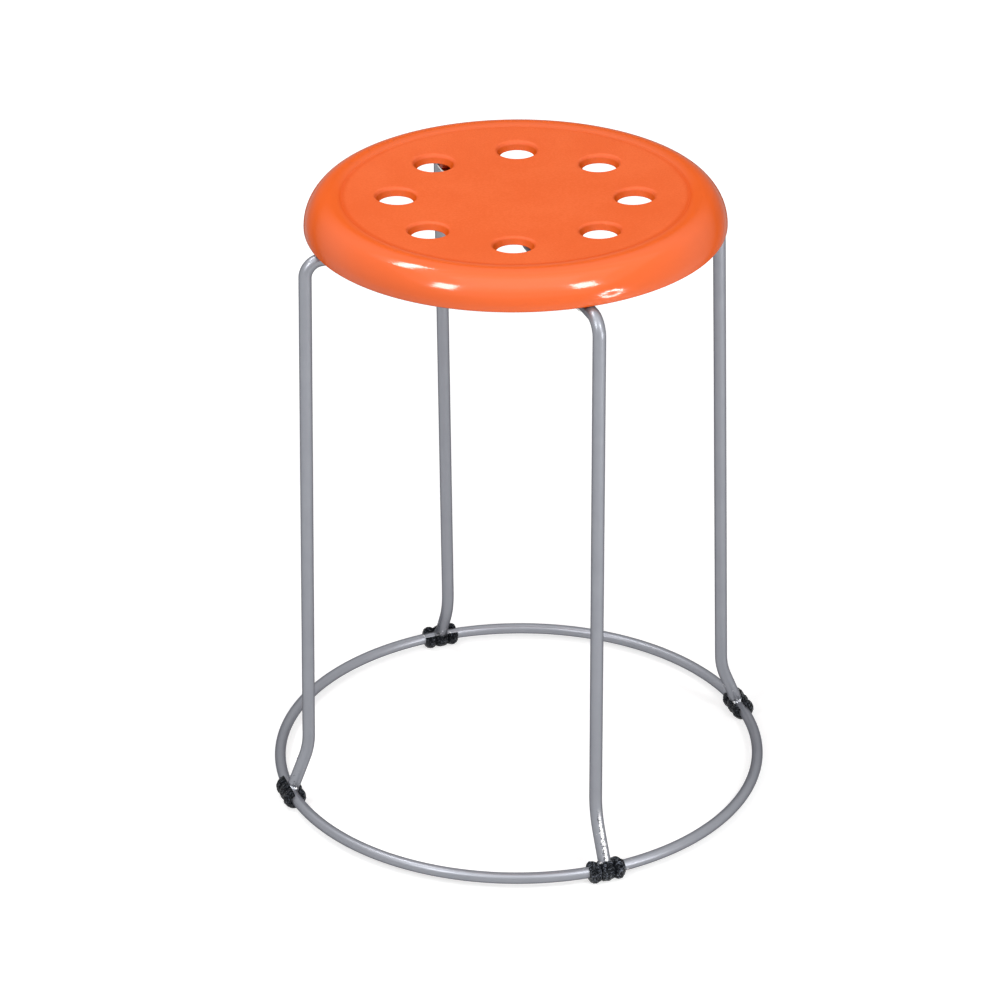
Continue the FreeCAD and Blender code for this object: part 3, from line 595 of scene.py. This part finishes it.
def add_saddles(bm, root):
    """A notched plate over each rod and a drilled boss for each screw."""
    top = dish_height(CLAMP_R) - root
    notch = arc_points((0.0, HOOP_Z), SADDLE_NOTCH_R, 180, 0, NOTCH_STEPS)
    saddle = [(-SCREW_OFFSET, HOOP_Z)] + notch
    saddle += [(SCREW_OFFSET, HOOP_Z), (SCREW_OFFSET, top), (-SCREW_OFFSET, top)]
    boss = [(PILOT_R, HOOP_Z), (BOSS_R - SMALL_EDGE, HOOP_Z), (BOSS_R, HOOP_Z + SMALL_EDGE),
            (BOSS_R, top), (PILOT_R, top)]
    for angle in LEG_ANGLES.values():
        turn = turn_matrix(angle)
        across = turn @ Matrix.Translation((CLAMP_R, 0, 0)) @ turn_matrix(90)
        add_plate(bm, saddle, SADDLE_THICKNESS, across)
        for side in (-1, 1):
            centre = turn @ Vector((CLAMP_R, side * SCREW_OFFSET, 0))
            first = len(bm.verts)
            add_revolved(bm, boss, BOSS_ROUND)
            bm.verts.ensure_lookup_table()
            for vert in bm.verts[first:]:
                vert.co += centre


def make_seat_ribs():
    """Ribs, saddles and screw bosses, rooted in the middle of the disc's wall."""
    bm = bmesh.new()
    root = WALL / 2
    add_ring_ribs(bm, root)
    add_radial_ribs(bm, root)
    add_saddles(bm, root)
    return finish_mesh("seat_ribs", bm, sharp=35.0)


# Rods

def bent_path(corners, radii):
    """Points of straight runs joined by tangent bends, in a vertical plane."""
    spots = [Vector(corner) for corner in corners]
    points = [spots[0]]
    for index in range(1, len(spots) - 1):
        before = (spots[index] - spots[index - 1]).normalized()
        after = (spots[index + 1] - spots[index]).normalized()
        turn = before.angle(after)
        cut = radii[index - 1] * math.tan(turn / 2)
        side = 1.0 if before.cross(after) > 0 else -1.0
        start = spots[index] - before * cut
        centre = start + Vector((-before.y, before.x)) * radii[index - 1] * side
        count = max(BEND_STEPS_LEAST, int(math.degrees(turn) / BEND_STEP))
        arm = start - centre
        for stage in range(count + 1):
            angle = side * turn * stage / count
            spun = Vector((arm.x * math.cos(angle) - arm.y * math.sin(angle),
                           arm.x * math.sin(angle) + arm.y * math.cos(angle)))
            points.append(centre + spun)
    points.append(spots[-1])
    return points


def fill_runs(points):
    """The same path with long runs divided."""
    out = [points[0]]
    for first, second in zip(points, points[1:]):
        count = max(1, int((second - first).length / RUN_GAP))
        out += [first.lerp(second, index / count) for index in range(1, count + 1)]
    return out


def make_hoop(name, angle, top_reach, knee_reach, crossing):
    """A hoop of round rod, swept along its bent path."""
    leg = [(RING_R, RING_Z), (knee_reach, KNEE_Z), (top_reach, HOOP_Z)]
    half = leg + crossing
    corners = [(-x, z) for x, z in half] + half[::-1]
    middle = [CROSSING_BEND_R] * (2 * len(crossing))
    radii = [KNEE_BEND_R, TOP_BEND_R] + middle + [TOP_BEND_R, KNEE_BEND_R]
    path = fill_runs(bent_path(corners, radii))
    turn = turn_matrix(angle)
    bm = bmesh.new()
    rings = []
    for index, point in enumerate(path):
        ahead = path[min(index + 1, len(path) - 1)]
        behind = path[max(index - 1, 0)]
        way = (ahead - behind).normalized()
        across = Vector((-way.y, 0.0, way.x))
        ring = []
        for side in range(ROD_SIDES):
            around = 2 * math.pi * side / ROD_SIDES
            offset = across * math.cos(around) + Vector((0, 1, 0)) * math.sin(around)
            spot = Vector((point.x, 0, point.y)) + offset * LEG_ROD_R
            ring.append(bm.verts.new(turn @ spot))
        rings.append(ring)
    join_rows(bm, rings)
    add_caps(bm, rings)
    return finish_mesh(name, bm, sharp=60.0)


def make_base_ring():
    """The ring of rod under the legs."""
    bm = bmesh.new()
    circle = arc_points((0, 0), RING_ROD_R, 0, 360, ROD_SIDES)[:-1]
    add_revolved(bm, [(RING_R + x, RING_Z + z) for x, z in circle], BASE_RING_ROUND)
    return finish_mesh("base_ring_rod", bm)


# Weld beads

def leg_end_matrix(angle, knee_reach):
    """From a leg's end, with Z along the leg and Y along the ring, to the stool."""
    lean = Matrix.Rotation(-math.atan((RING_R - knee_reach) / (KNEE_Z - RING_Z)), 4, "Y")
    return turn_matrix(angle) @ Matrix.Translation((RING_R, 0, RING_Z)) @ lean


def around_leg(radius, around, height):
    """A point round a leg's end, at an angle in radians and a height along the leg."""
    return Vector((math.cos(around) * radius, math.sin(around) * radius, height))


def weld_section():
    """The section of a leg's bead, from under it up to the rod."""
    low = math.sqrt(WELD_R ** 2 - (WELD_LIFT - WELD_BASE) ** 2)
    start = math.degrees(math.atan2(WELD_BASE - WELD_LIFT, low))
    stop = math.degrees(math.acos((LEG_ROD_R - WELD_SINK) / WELD_R))
    section = [(low * 0.5, WELD_BASE), (low, WELD_BASE)]
    section += arc_points((0.0, WELD_LIFT), WELD_R, start, stop, WELD_STEPS)[1:]
    section.append((LEG_ROD_R - WELD_TUCK, section[-1][1]))
    return section


def weld_bulge(around, height, radius, angle, phase):
    """How far the bead's rippled skin stands out at a point round the leg."""
    seed = Vector((math.cos(around) * LUMP_ROUND_SCALE, math.sin(around) * LUMP_ROUND_SCALE,
                   height * LUMP_HEIGHT_SCALE + angle))
    lump = LUMP * noise.noise(seed) + LUMP_FINE * noise.noise(seed * LUMP_FINE_SCALE)
    wander = RIPPLE_WANDER * noise.noise(seed * RIPPLE_WANDER_SCALE)
    ripple = RIPPLE * math.sin(RIPPLE_COUNT * around + phase + wander)
    return (lump + ripple - WELD_SHRINK) * min(1.0, radius / LEG_ROD_R - LUMP_FADE)


def add_drop(bm, centre, radius):
    """One small round drop of weld spatter."""
    made = bmesh.ops.create_icosphere(bm, subdivisions=2, radius=radius)
    bmesh.ops.translate(bm, verts=made["verts"], vec=centre)


def make_leg_weld(name, angle, knee_reach, rng):
    """A rippled bead round the leg's end, with drops of spatter on the rods beside it."""
    bm = bmesh.new()
    place = leg_end_matrix(angle, knee_reach)
    section = weld_section()
    phase = rng.uniform(*RIPPLE_PHASES)
    rings = []
    for radius, height in section:
        ring = []
        for index in range(WELD_ROUND):
            around = 2 * math.pi * index / WELD_ROUND
            bulge = 0.0
            if radius > LEG_ROD_R - LUMP_FROM:
                bulge = weld_bulge(around, height, radius, angle, phase)
            ring.append(bm.verts.new(place @ around_leg(radius + bulge, around, height)))
        rings.append(ring)
    fan(bm, bm.verts.new(place @ Vector((0, 0, section[0][1]))), rings[0])
    join_rows(bm, rings)
    fan(bm, bm.verts.new(place @ Vector((0, 0, section[-1][1]))), rings[-1])
    for _ in range(SPATTER_COUNT):
        around = rng.uniform(0, 2 * math.pi)
        height = SPATTER_LOW + SPATTER_SPAN * rng.random() ** SPATTER_POWER
        size = rng.uniform(*SPATTER_SIZES)
        add_drop(bm, place @ around_leg(LEG_ROD_R, around, height), size)
    return finish_mesh(name, bm, sharp=80.0)


def make_crossing_weld():
    """The bead between the hoops where they cross."""
    bm = bmesh.new()
    bmesh.ops.create_icosphere(bm, subdivisions=5, radius=CROSSING_WELD_R)
    for vert in bm.verts:
        lump = CROSSING_LUMP * noise.noise(vert.co * CROSSING_LUMP_SCALE)
        vert.co *= 1 + lump - CROSSING_SHRINK
        vert.co.z += HOOP_Z
    return finish_mesh("crossing_weld_bead", bm, sharp=80.0)


# Ribbed feet

def foot_radius(y):
    """Outer radius of the foot at a distance along it from its middle."""
    y = abs(y)
    half_middle = FOOT_MIDDLE_RIB / 2
    if y <= half_middle:
        centre, half, depth = 0.0, half_middle, FOOT_GROOVE_DEPTH
    elif y <= FOOT_END_CROWN:
        centre, half, depth = FOOT_END_CROWN, FOOT_END_CROWN - half_middle, FOOT_GROOVE_DEPTH
    else:
        centre, half, depth = FOOT_END_CROWN, FOOT_LENGTH / 2 - FOOT_END_CROWN, FOOT_END_DEPTH
    arc = (half ** 2 + depth ** 2) / (2 * depth)
    return FOOT_CROWN_R - arc + math.sqrt(arc ** 2 - (y - centre) ** 2)


def foot_section(outer):
    """Radii and angles round the foot's wall: outside, one lip, the bore and the other lip."""
    start = 90 - FOOT_SLOT_HALF + FOOT_SLOT_TILT
    stop = start - (360 - 2 * FOOT_SLOT_HALF)
    wall = outer - FOOT_BORE_R
    loop = []
    for radius, first, last, side, shares in ((outer, start, stop, -1, LIP_SHARES),
                                              (FOOT_BORE_R, stop, start, 1, LIP_SHARES[::-1])):
        for index in range(FOOT_ROUND + 1):
            loop.append((radius, first + (last - first) * index / FOOT_ROUND))
        for share in shares:
            swell = math.degrees(LIP_SWELL * math.sin(math.pi * share) / outer)
            loop.append((outer - wall * share, last + side * swell))
    return loop


def foot_spot(radius, degrees, y, shift, angle):
    """A point of the foot's crinkled skin, kept above the floor."""
    x = radius * math.cos(math.radians(degrees)) - shift
    z = radius * math.sin(math.radians(degrees))
    out = 1.0
    if radius > FOOT_BORE_R + CRINKLE_FROM:
        large = Vector((x * CRINKLE_SCALE, y * CRINKLE_SCALE, z * CRINKLE_SCALE + angle))
        small = Vector((x * CRINKLE_FINE_SCALE + angle, y * CRINKLE_FINE_SCALE,
                        z * CRINKLE_FINE_SCALE))
        out += (CRINKLE * noise.noise(large) + CRINKLE_FINE * noise.noise(small)) / radius
    return Vector((RING_R + x * out, y, max(RING_Z + z * out, 0.0)))


def make_foot(name, angle, knee_reach):
    """A ribbed clip with an open top, wrapped round the ring's rod."""
    bm = bmesh.new()
    rows = []
    for step in range(FOOT_ALONG + 1):
        y = -FOOT_LENGTH / 2 + FOOT_LENGTH * step / FOOT_ALONG
        outer = foot_radius(y)
        bore = outer - (outer - FOOT_BORE_R) * BORE_SHARE
        bend = RING_R - math.sqrt(RING_R ** 2 - y ** 2)
        points = []
        for radius, degrees in foot_section(outer):
            shift = bend if radius < bore else 0.0
            points.append(foot_spot(radius, degrees, y, shift, angle))
        rows.append(new_ring(bm, points))
    join_rows(bm, rows)
    for row in (rows[0], rows[-1]):
        half = len(row) // 2
        outside, inside = row[:half], row[half:][::-1]
        for index in range(half - 1):
            bm.faces.new((outside[index], outside[index + 1], inside[index + 1], inside[index]))
    foot = finish_mesh(name, bm, sharp=50.0)
    cut_leg_pocket(foot, knee_reach)
    foot.data.transform(turn_matrix(angle))
    return foot


def cut_leg_pocket(foot, knee_reach):
    """Takes away the room that the leg's end and its bead need between the foot's walls."""
    bm = bmesh.new()
    section = arc_points((0.0, WELD_LIFT), WELD_R + POCKET_WELD_GAP, *POCKET_ARC, POCKET_STEPS)
    section += [(LEG_ROD_R + POCKET_ROD_GAP, section[-1][1] + POCKET_SHOULDER),
                (LEG_ROD_R + POCKET_ROD_GAP, POCKET_TOP)]
    rings = [new_ring(bm, circle_points(radius, height, POCKET_ROUND))
             for radius, height in section]
    join_rows(bm, rings)
    add_caps(bm, rings)
    bmesh.ops.transform(bm, matrix=leg_end_matrix(0.0, knee_reach), verts=bm.verts)
    cutter = finish_mesh("leg_pocket_cutter", bm)
    modifier = foot.modifiers.new("leg_pocket", "BOOLEAN")
    modifier.operation = "DIFFERENCE"
    modifier.solver = "EXACT"
    modifier.object = cutter
    bpy.context.view_layer.update()
    graph = bpy.context.evaluated_depsgraph_get()
    cut = bpy.data.meshes.new_from_object(foot.evaluated_get(graph))
    foot.modifiers.clear()
    old = foot.data
    foot.data = cut
    bpy.data.meshes.remove(old)
    bpy.data.objects.remove(cutter)


# Materials

class Nodes:
    """The node tree of a world or a material, with short ways to add and join nodes."""

    def __init__(self, owner):
        owner.use_nodes = True
        self.tree = owner.node_tree

    def add(self, kind, **settings):
        """A new node with its settings."""
        node = self.tree.nodes.new("ShaderNode" + kind)
        for key, setting in settings.items():
            setattr(node, key, setting)
        return node

    def link(self, source, target):
        """Joins one node's output to another node's input."""
        self.tree.links.new(source, target)

    def feed(self, socket, value):
        """Sets an input to a colour or a number, or joins it to an output."""
        if isinstance(value, tuple):
            socket.default_value = (*value, 1.0)
        elif isinstance(value, (int, float)):
            socket.default_value = value
        else:
            self.link(value, socket)

    def math(self, operation, first, second=None, clamp=False):
        """The result of a calculation on one or two values."""
        node = self.add("Math", operation=operation, use_clamp=clamp)
        self.feed(node.inputs[0], first)
        if second is not None:
            self.feed(node.inputs[1], second)
        return node.outputs["Value"]

    def times(self, product, *values):
        """The product of several values."""
        for value in values:
            product = self.math("MULTIPLY", product, value)
        return product

    def ramp(self, value, limits, start=0.0, stop=1.0):
        """A smooth step of a value between two limits."""
        node = self.add("MapRange", interpolation_type="SMOOTHSTEP")
        self.link(value, node.inputs["Value"])
        keys = ("From Min", "From Max", "To Min", "To Max")
        for key, number in zip(keys, (*limits, start, stop)):
            node.inputs[key].default_value = number
        return node.outputs["Result"]


class Shader(Nodes):
    """A material's node tree."""

    def __init__(self, name):
        self.material = bpy.data.materials.new(name)
        super().__init__(self.material)
        self.surface = self.tree.nodes["Principled BSDF"]

    def place(self):
        """The object's own coordinates, in metres."""
        return self.add("TexCoord").outputs["Object"]

    def axes(self):
        """The three parts of the object's own coordinates."""
        node = self.add("SeparateXYZ")
        self.link(self.place(), node.inputs["Vector"])
        return node.outputs["X"], node.outputs["Y"], node.outputs["Z"]

    def length(self, vector):
        """The length of a vector."""
        node = self.add("VectorMath", operation="LENGTH")
        self.link(vector, node.inputs[0])
        return node.outputs["Value"]

    def facing(self):
        """How far a face turns away from the eye."""
        return self.add("LayerWeight").outputs["Facing"]

    def noise(self, scale, detail, rough=0.5, vector=None):
        """A cloudy noise between 0 and 1."""
        node = self.add("TexNoise")
        node.inputs["Scale"].default_value = scale
        node.inputs["Detail"].default_value = detail
        node.inputs["Roughness"].default_value = rough
        self.link(vector or self.place(), node.inputs["Vector"])
        return node.outputs["Fac"]

    def cells(self, scale, feature):
        """Distance to the middle of the nearest cell of an uneven grain."""
        node = self.add("TexVoronoi", feature=feature)
        node.inputs["Scale"].default_value = scale
        self.link(self.place(), node.inputs["Vector"])
        return node.outputs["Distance"]

    def fall(self, value, limits):
        """A smooth step from one down to nothing between two limits."""
        return self.ramp(value, limits, 1.0, 0.0)

    def band(self, value, rise, end):
        """A band between a smooth step up and a smooth step down."""
        return self.times(self.ramp(value, rise), self.fall(value, end))

    def raised(self, value, least, span):
        """A least value with a share of a span added to it."""
        return self.math("ADD", self.times(value, span), least)

    def blend_colors(self, share, first, second):
        """A mix of two colours."""
        node = self.add("Mix", data_type="RGBA")
        self.link(share, node.inputs["Factor"])
        self.feed(node.inputs[6], first)
        self.feed(node.inputs[7], second)
        return node.outputs[2]

    def bump(self, height, strength, distance):
        """Relief on the surface."""
        node = self.add("Bump")
        self.feed(node.inputs["Height"], height)
        self.feed(node.inputs["Strength"], strength)
        self.feed(node.inputs["Distance"], distance)
        self.link(node.outputs["Normal"], self.surface.inputs["Normal"])

    def set(self, **values):
        """Gives inputs of the surface their values, with _ for a space in a name."""
        for key, value in values.items():
            self.feed(self.surface.inputs[key.replace("_", " ")], value)


def seat_material():
    """Orange plastic with a matt disc and a glossy rim.

    The crease, the holes' walls with the underside below them, and the rim's far edge seen at a
    flat angle are darkened by painted shade, and the gloss falls off where a face is seen at a
    flat angle.
    """
    shader = Shader("seat_plastic")
    flat = shader.add("VectorMath", operation="MULTIPLY")
    flat.inputs[1].default_value = (1.0, 1.0, 0.0)
    shader.link(shader.place(), flat.inputs[0])
    radius = shader.length(flat.outputs[0])
    height = shader.axes()[2]
    facing = shader.facing()
    disc = shader.fall(radius, DISC_EDGE)

    mottle = shader.times(shader.noise(*SEAT_MOTTLE), disc)
    clouds = shader.math("ADD", shader.noise(*SEAT_CLOUDS), mottle)
    clouds = shader.ramp(clouds, SEAT_CLOUD_LIMITS)
    matt = shader.blend_colors(clouds, SEAT_MATT, SEAT_MATT_DEEP)
    color = shader.blend_colors(disc, SEAT_GLOSSY, matt)
    # Painted shade in the holes' walls and the underside below them
    hole_shade = shader.times(shader.fall(height, HOLE_SHADE_TOP), disc,
                        shader.ramp(radius, HOLE_SHADE_START))
    color = shader.blend_colors(hole_shade, color, SEAT_HOLE_SHADE)
    # Painted shade in the crease, stronger where it is seen at a flat angle
    crease = shader.times(shader.band(radius, CREASE_SHADE_START, CREASE_SHADE_END),
                          shader.ramp(facing, CREASE_SHADE_TURN, 0.0, CREASE_SHADE_SHARE))
    color = shader.blend_colors(crease, color, SEAT_CREASE_SHADE)
    # Painted shade on the rim's far edge, seen at a flat angle
    rim_edge_shade = shader.times(shader.ramp(facing, RIM_EDGE_SHADE_TURN, 0.0, RIM_EDGE_SHADE_SHARE),
                         shader.ramp(radius, RIM_EDGE_SHADE_START))
    shader.set(Base_Color=shader.blend_colors(rim_edge_shade, color, SEAT_RIM_EDGE_SHADE))

    pits = shader.math("ADD", shader.cells(SEAT_CELLS, "SMOOTH_F1"), shader.noise(*SEAT_PITS))
    shader.bump(pits, shader.times(disc, SEAT_BUMP), SEAT_BUMP_HEIGHT)
    dull = shader.math("SUBTRACT", 1.0, shader.times(disc, DISC_DULL))
    gloss = shader.times(shader.ramp(facing, GLOSS_TURN, GLOSS_SQUARE, GLOSS_FLAT), dull,
                         shader.fall(facing, GLOSS_END))
    shader.set(Roughness=shader.raised(disc, *SEAT_ROUGHNESS), Specular_IOR_Level=gloss)
    return shader.material


def rod_material():
    """Silver-grey paint, with painted shade where it turns away.

    It is worn to bare metal near the welded ends and chipped in a strip on the front leg.
    """
    shader = Shader("rod_paint")
    x, y, z = shader.axes()
    from_leg = shader.math("MINIMUM", shader.math("ABSOLUTE", x), shader.math("ABSOLUTE", y))
    worn = shader.times(shader.fall(z, WEAR_TOP), shader.fall(from_leg, WEAR_REACH),
                        shader.ramp(shader.noise(*ROD_WEAR), ROD_WEAR_LIMITS))
    ragged = shader.math("SUBTRACT", shader.noise(*ROD_RAGGED), 0.5)
    across = shader.math("ADD", x, shader.times(ragged, CHIP_RAGGED))
    strip = shader.times(shader.band(across, CHIP_LEFT, CHIP_RIGHT), shader.ramp(y, CHIP_FRONT),
                         shader.band(z, CHIP_LOW, CHIP_TOP))
    chips = shader.math("MAXIMUM", worn, strip)

    paint = shader.blend_colors(shader.noise(*ROD_CLOUDS), ROD_GREY, ROD_GREY_LIGHT)
    # Painted shade: the paint darkens where the rod turns away from the eye
    edge = shader.ramp(shader.facing(), ROD_EDGE_SHADE_TURN)
    paint = shader.blend_colors(edge, paint, ROD_EDGE_SHADE)
    shade = shader.ramp(across, CHIP_SHADE, CHIP_SHADE_LEFT, CHIP_SHADE_RIGHT)
    flecks = shader.math("ADD", shader.noise(*ROD_FLECKS), shade)
    flecks = shader.ramp(flecks, ROD_FLECK_LIMITS)
    bare = shader.blend_colors(flecks, BARE_STEEL, CHIP_DARK)
    shader.set(Base_Color=shader.blend_colors(chips, paint, bare), Specular_Tint=ROD_EDGE,
               Metallic=ROD_METAL,
               Roughness=shader.raised(shader.noise(*ROD_POLISH), *ROD_ROUGHNESS))
    relief = shader.times(shader.noise(*ROD_RELIEF), ROD_RELIEF_SHARE)
    shader.bump(shader.math("SUBTRACT", relief, chips), ROD_BUMP, ROD_BUMP_HEIGHT)
    return shader.material


def weld_material():
    """The same paint over rough weld, with bright metal where it is worn."""
    shader = Shader("weld_paint")
    worn = shader.ramp(shader.noise(*WELD_WEAR), WELD_WEAR_LIMITS)
    shader.set(Base_Color=shader.blend_colors(worn, ROD_GREY_LIGHT, BARE_STEEL),
               Specular_Tint=ROD_EDGE, Metallic=WELD_METAL, Roughness=WELD_ROUGHNESS)
    shader.bump(shader.noise(*WELD_RELIEF), WELD_BUMP, WELD_BUMP_HEIGHT)
    return shader.material


def foot_material():
    """Black plastic with a coarse crinkled grain and scuffed ribs; the scuffs and gloss are raised
    on the front foot as painted light.
    """
    shader = Shader("foot_plastic")
    x, y, _ = shader.axes()
    along = shader.math("MINIMUM", shader.math("ABSOLUTE", x), shader.math("ABSOLUTE", y))
    from_groove = shader.math("SUBTRACT", along, FOOT_MIDDLE_RIB * MM / 2)
    crown = shader.ramp(shader.math("ABSOLUTE", from_groove), FOOT_CROWN)
    # Painted light: the front foot's scuffs and gloss are raised so that it looks lighter
    rib_wear_and_front_light = shader.times(crown, shader.ramp(y, FOOT_FRONT_LIGHT_SPAN, FOOT_WEAR_OUTSIDE_FRONT_LIGHT, 1.0))
    scuffs_and_front_light = shader.times(shader.ramp(shader.noise(*FOOT_SCUFFS), FOOT_SCUFF_LIMITS), rib_wear_and_front_light)
    shine = shader.times(shader.ramp(shader.noise(*FOOT_SHINE), FOOT_SHINE_LIMITS), rib_wear_and_front_light)
    grain = shader.math("ADD", shader.cells(FOOT_CELLS, "F1"), shader.noise(*FOOT_GRAIN))
    shader.bump(grain, FOOT_BUMP, FOOT_BUMP_HEIGHT)
    shader.set(Base_Color=shader.blend_colors(scuffs_and_front_light, FOOT_BLACK, FOOT_SCUFF_AND_FRONT_LIGHT),
               Specular_Tint=FOOT_SHEEN, Roughness=FOOT_ROUGHNESS,
               Specular_IOR_Level=shader.raised(shine, *FOOT_GLOSS))
    return shader.material


def zinc_material(name, turned):
    """Zinc-plated steel with a faint yellowish bloom and fine drawing lines."""
    shader = Shader(name)
    shader.set(Base_Color=shader.blend_colors(shader.noise(*ZINC_BLOOM), ZINC, ZINC_WARM))
    fine = ZINC_LINE_STRETCH
    lines = shader.add("Mapping")
    lines.inputs["Scale"].default_value = (1.0, 1.0, fine) if turned else (fine, fine, 1.0)
    shader.link(shader.place(), lines.inputs["Vector"])
    relief = shader.noise(*ZINC_LINES, vector=lines.outputs["Vector"])
    shader.bump(relief, ZINC_BUMP, ZINC_BUMP_HEIGHT)
    shader.set(Metallic=1.0, Roughness=ZINC_ROUGHNESS)
    return shader.material


# Studio

def look_from(azimuth, elevation, distance):
    """A place seen from the lamps' target, at an azimuth from the camera's and an elevation."""
    az, el = math.radians(CAMERA_AZIMUTH + azimuth), math.radians(elevation)
    way = Vector((math.cos(az) * math.cos(el), math.sin(az) * math.cos(el), math.sin(el)))
    return LAMP_TARGET + way * distance


def add_area(name, place, size, glow, shape="RECTANGLE", roll=0.0):
    """A soft area lamp that faces the target, its strength given as the glow of its face."""
    lamp = bpy.data.lights.new(name, "AREA")
    lamp.shape = shape
    lamp.size, lamp.size_y = size
    lamp.energy = glow * math.pi * size[0] * size[1]
    obj = bpy.data.objects.new(name, lamp)
    bpy.context.scene.collection.objects.link(obj)
    obj.location = place
    aim = (place - LAMP_TARGET).to_track_quat("Z", "Y").to_matrix()
    obj.rotation_euler = (aim @ Matrix.Rotation(math.radians(roll), 3, "Z")).to_euler()
    obj.visible_camera = False


def add_lamps():
    """The large lamps, and a ring of small round ones."""
    for name, azimuth, elevation, distance, size, glow, roll in LAMPS:
        add_area(name, look_from(azimuth, elevation, distance), size, glow, roll=roll)
    middle = look_from(RING_AZIMUTH, RING_ELEVATION, RING_DISTANCE)
    side = Vector((0.0, 0.0, 1.0)).cross(middle).normalized()
    for turn in range(RING_LAMPS):
        spin = 2 * math.pi * turn / RING_LAMPS
        up = Vector((0.0, 0.0, RING_HALF_HEIGHT * math.sin(spin)))
        spot = middle + side * RING_HALF_WIDTH * math.cos(spin) + up
        add_area("ring_%d" % turn, spot, RING_LAMP_SIZE, RING_GLOW, shape="DISK")


def add_world():
    """White where the camera, gloss or glass sees it, and a plain soft fill elsewhere."""
    world = bpy.data.worlds.new("studio")
    bpy.context.scene.world = world
    studio = Nodes(world)
    path = studio.add("LightPath").outputs
    seen = studio.math("ADD", path["Is Camera Ray"], path["Is Glossy Ray"], clamp=True)
    through = studio.math("ADD", seen, path["Is Transmission Ray"], clamp=True)
    back = studio.tree.nodes["Background"]
    studio.feed(back.inputs["Color"], WHITE)
    studio.feed(back.inputs["Strength"], studio.ramp(through, (0.0, 1.0), WORLD_FILL, 1.0))


def add_floor():
    """A plain pale floor that keeps the shadow."""
    bpy.ops.mesh.primitive_circle_add(vertices=FLOOR_ROUND, radius=FLOOR_R, fill_type="NGON",
                                      location=(0, 0, -FLOOR_DROP))
    floor = bpy.context.object
    floor.name = "floor"
    shader = Shader("floor_paper")
    path = shader.add("LightPath").outputs
    seen = shader.math("ADD", path["Is Camera Ray"], path["Is Glossy Ray"], clamp=True)
    lift = shader.ramp(shader.length(shader.place()), FLOOR_LIFT_REACH, FLOOR_LIFT, 1.0)
    shader.set(Base_Color=FLOOR_GREY, Roughness=FLOOR_ROUGHNESS, Specular_IOR_Level=0.0,
               Emission_Color=WHITE, Emission_Strength=shader.times(seen, lift))
    floor.data.materials.append(shader.material)


def add_camera():
    """The camera at the photograph's viewing angle."""
    pitch, yaw, roll = (math.radians(v) for v in (CAMERA_PITCH, CAMERA_YAW, CAMERA_ROLL))
    ahead = Vector((-math.sin(yaw) * math.cos(pitch), math.cos(yaw) * math.cos(pitch),
                    -math.sin(pitch)))
    right = Vector((math.cos(yaw), math.sin(yaw), 0.0))
    up = right.cross(ahead)
    turned_right = right * math.cos(roll) + up * math.sin(roll)
    turned_up = up * math.cos(roll) - right * math.sin(roll)
    data = bpy.data.cameras.new("camera")
    data.lens = CAMERA_LENS
    data.sensor_width = CAMERA_SENSOR
    data.clip_end = CAMERA_REACH
    camera = bpy.data.objects.new("camera", data)
    bpy.context.scene.collection.objects.link(camera)
    camera.matrix_world = Matrix.Translation(Vector(CAMERA_PLACE) * MM) @ Matrix(
        (turned_right, turned_up, -ahead)).transposed().to_4x4()
    bpy.context.scene.camera = camera


# Pieces

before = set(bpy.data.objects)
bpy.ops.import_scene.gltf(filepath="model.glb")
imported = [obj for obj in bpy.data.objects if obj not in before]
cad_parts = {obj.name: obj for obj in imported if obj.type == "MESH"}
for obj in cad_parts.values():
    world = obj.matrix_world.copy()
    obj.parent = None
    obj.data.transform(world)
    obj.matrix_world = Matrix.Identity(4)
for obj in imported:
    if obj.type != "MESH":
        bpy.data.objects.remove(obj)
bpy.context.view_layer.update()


def give_material(obj, material):
    """Gives an object one material in place of those it has."""
    obj.data.materials.clear()
    obj.data.materials.append(material)


def dress(piece, material, slot, *nodes):
    """Gives a piece its material and lets it stand for its CAD nodes. The slot is not used."""
    give_material(piece, material)
    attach(piece, "root")
    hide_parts(*nodes)


seat_plastic = seat_material()
dress(make_seat_shell(), seat_plastic, "seat_plastic", "seat")
dress(make_seat_ribs(), seat_plastic, "seat_plastic", "seat")

rod_paint = rod_material()
dip = [(DIP_OUTER, HOOP_Z), (DIP_INNER, DIP_Z)]
rise = [(RISE_OUTER, HOOP_Z), (RISE_INNER, RISE_Z)]
side_hoop = make_hoop("hoop_left_right_rod", 0.0, SIDE_TOP_REACH, SIDE_KNEE_REACH, dip)
front_hoop = make_hoop("hoop_front_back_rod", 90.0, FRONT_TOP_REACH, FRONT_KNEE_REACH, rise)
dress(side_hoop, rod_paint, "rod_paint", "hoop_left_right")
dress(front_hoop, rod_paint, "rod_paint", "hoop_front_back")
dress(make_base_ring(), rod_paint, "rod_paint", "base_ring")

weld_paint = weld_material()
foot_plastic = foot_material()
dress(make_crossing_weld(), weld_paint, "weld_paint", "crossing_weld")
rng = random.Random(RANDOM_SEED)
for leg, leg_angle in LEG_ANGLES.items():
    knee = SIDE_KNEE_REACH if leg in ("left", "right") else FRONT_KNEE_REACH
    bead = make_leg_weld("leg_weld_bead_" + leg, leg_angle, knee, rng)
    dress(bead, weld_paint, "weld_paint", "leg_weld_" + leg)
    foot = make_foot("foot_clip_" + leg, leg_angle, knee)
    dress(foot, foot_plastic, "foot_plastic", "foot_" + leg)

clamp_zinc = zinc_material("clamp_steel", False)
screw_zinc = zinc_material("screw_steel", True)
for node_name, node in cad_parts.items():
    if node_name.startswith("seat_clamp_"):
        give_material(node, clamp_zinc)
    elif node_name.startswith("clamp_screw_"):
        give_material(node, screw_zinc)

add_world()
add_floor()
add_camera()
scene = bpy.context.scene
scene.view_settings.view_transform = "Standard"
add_lamps()
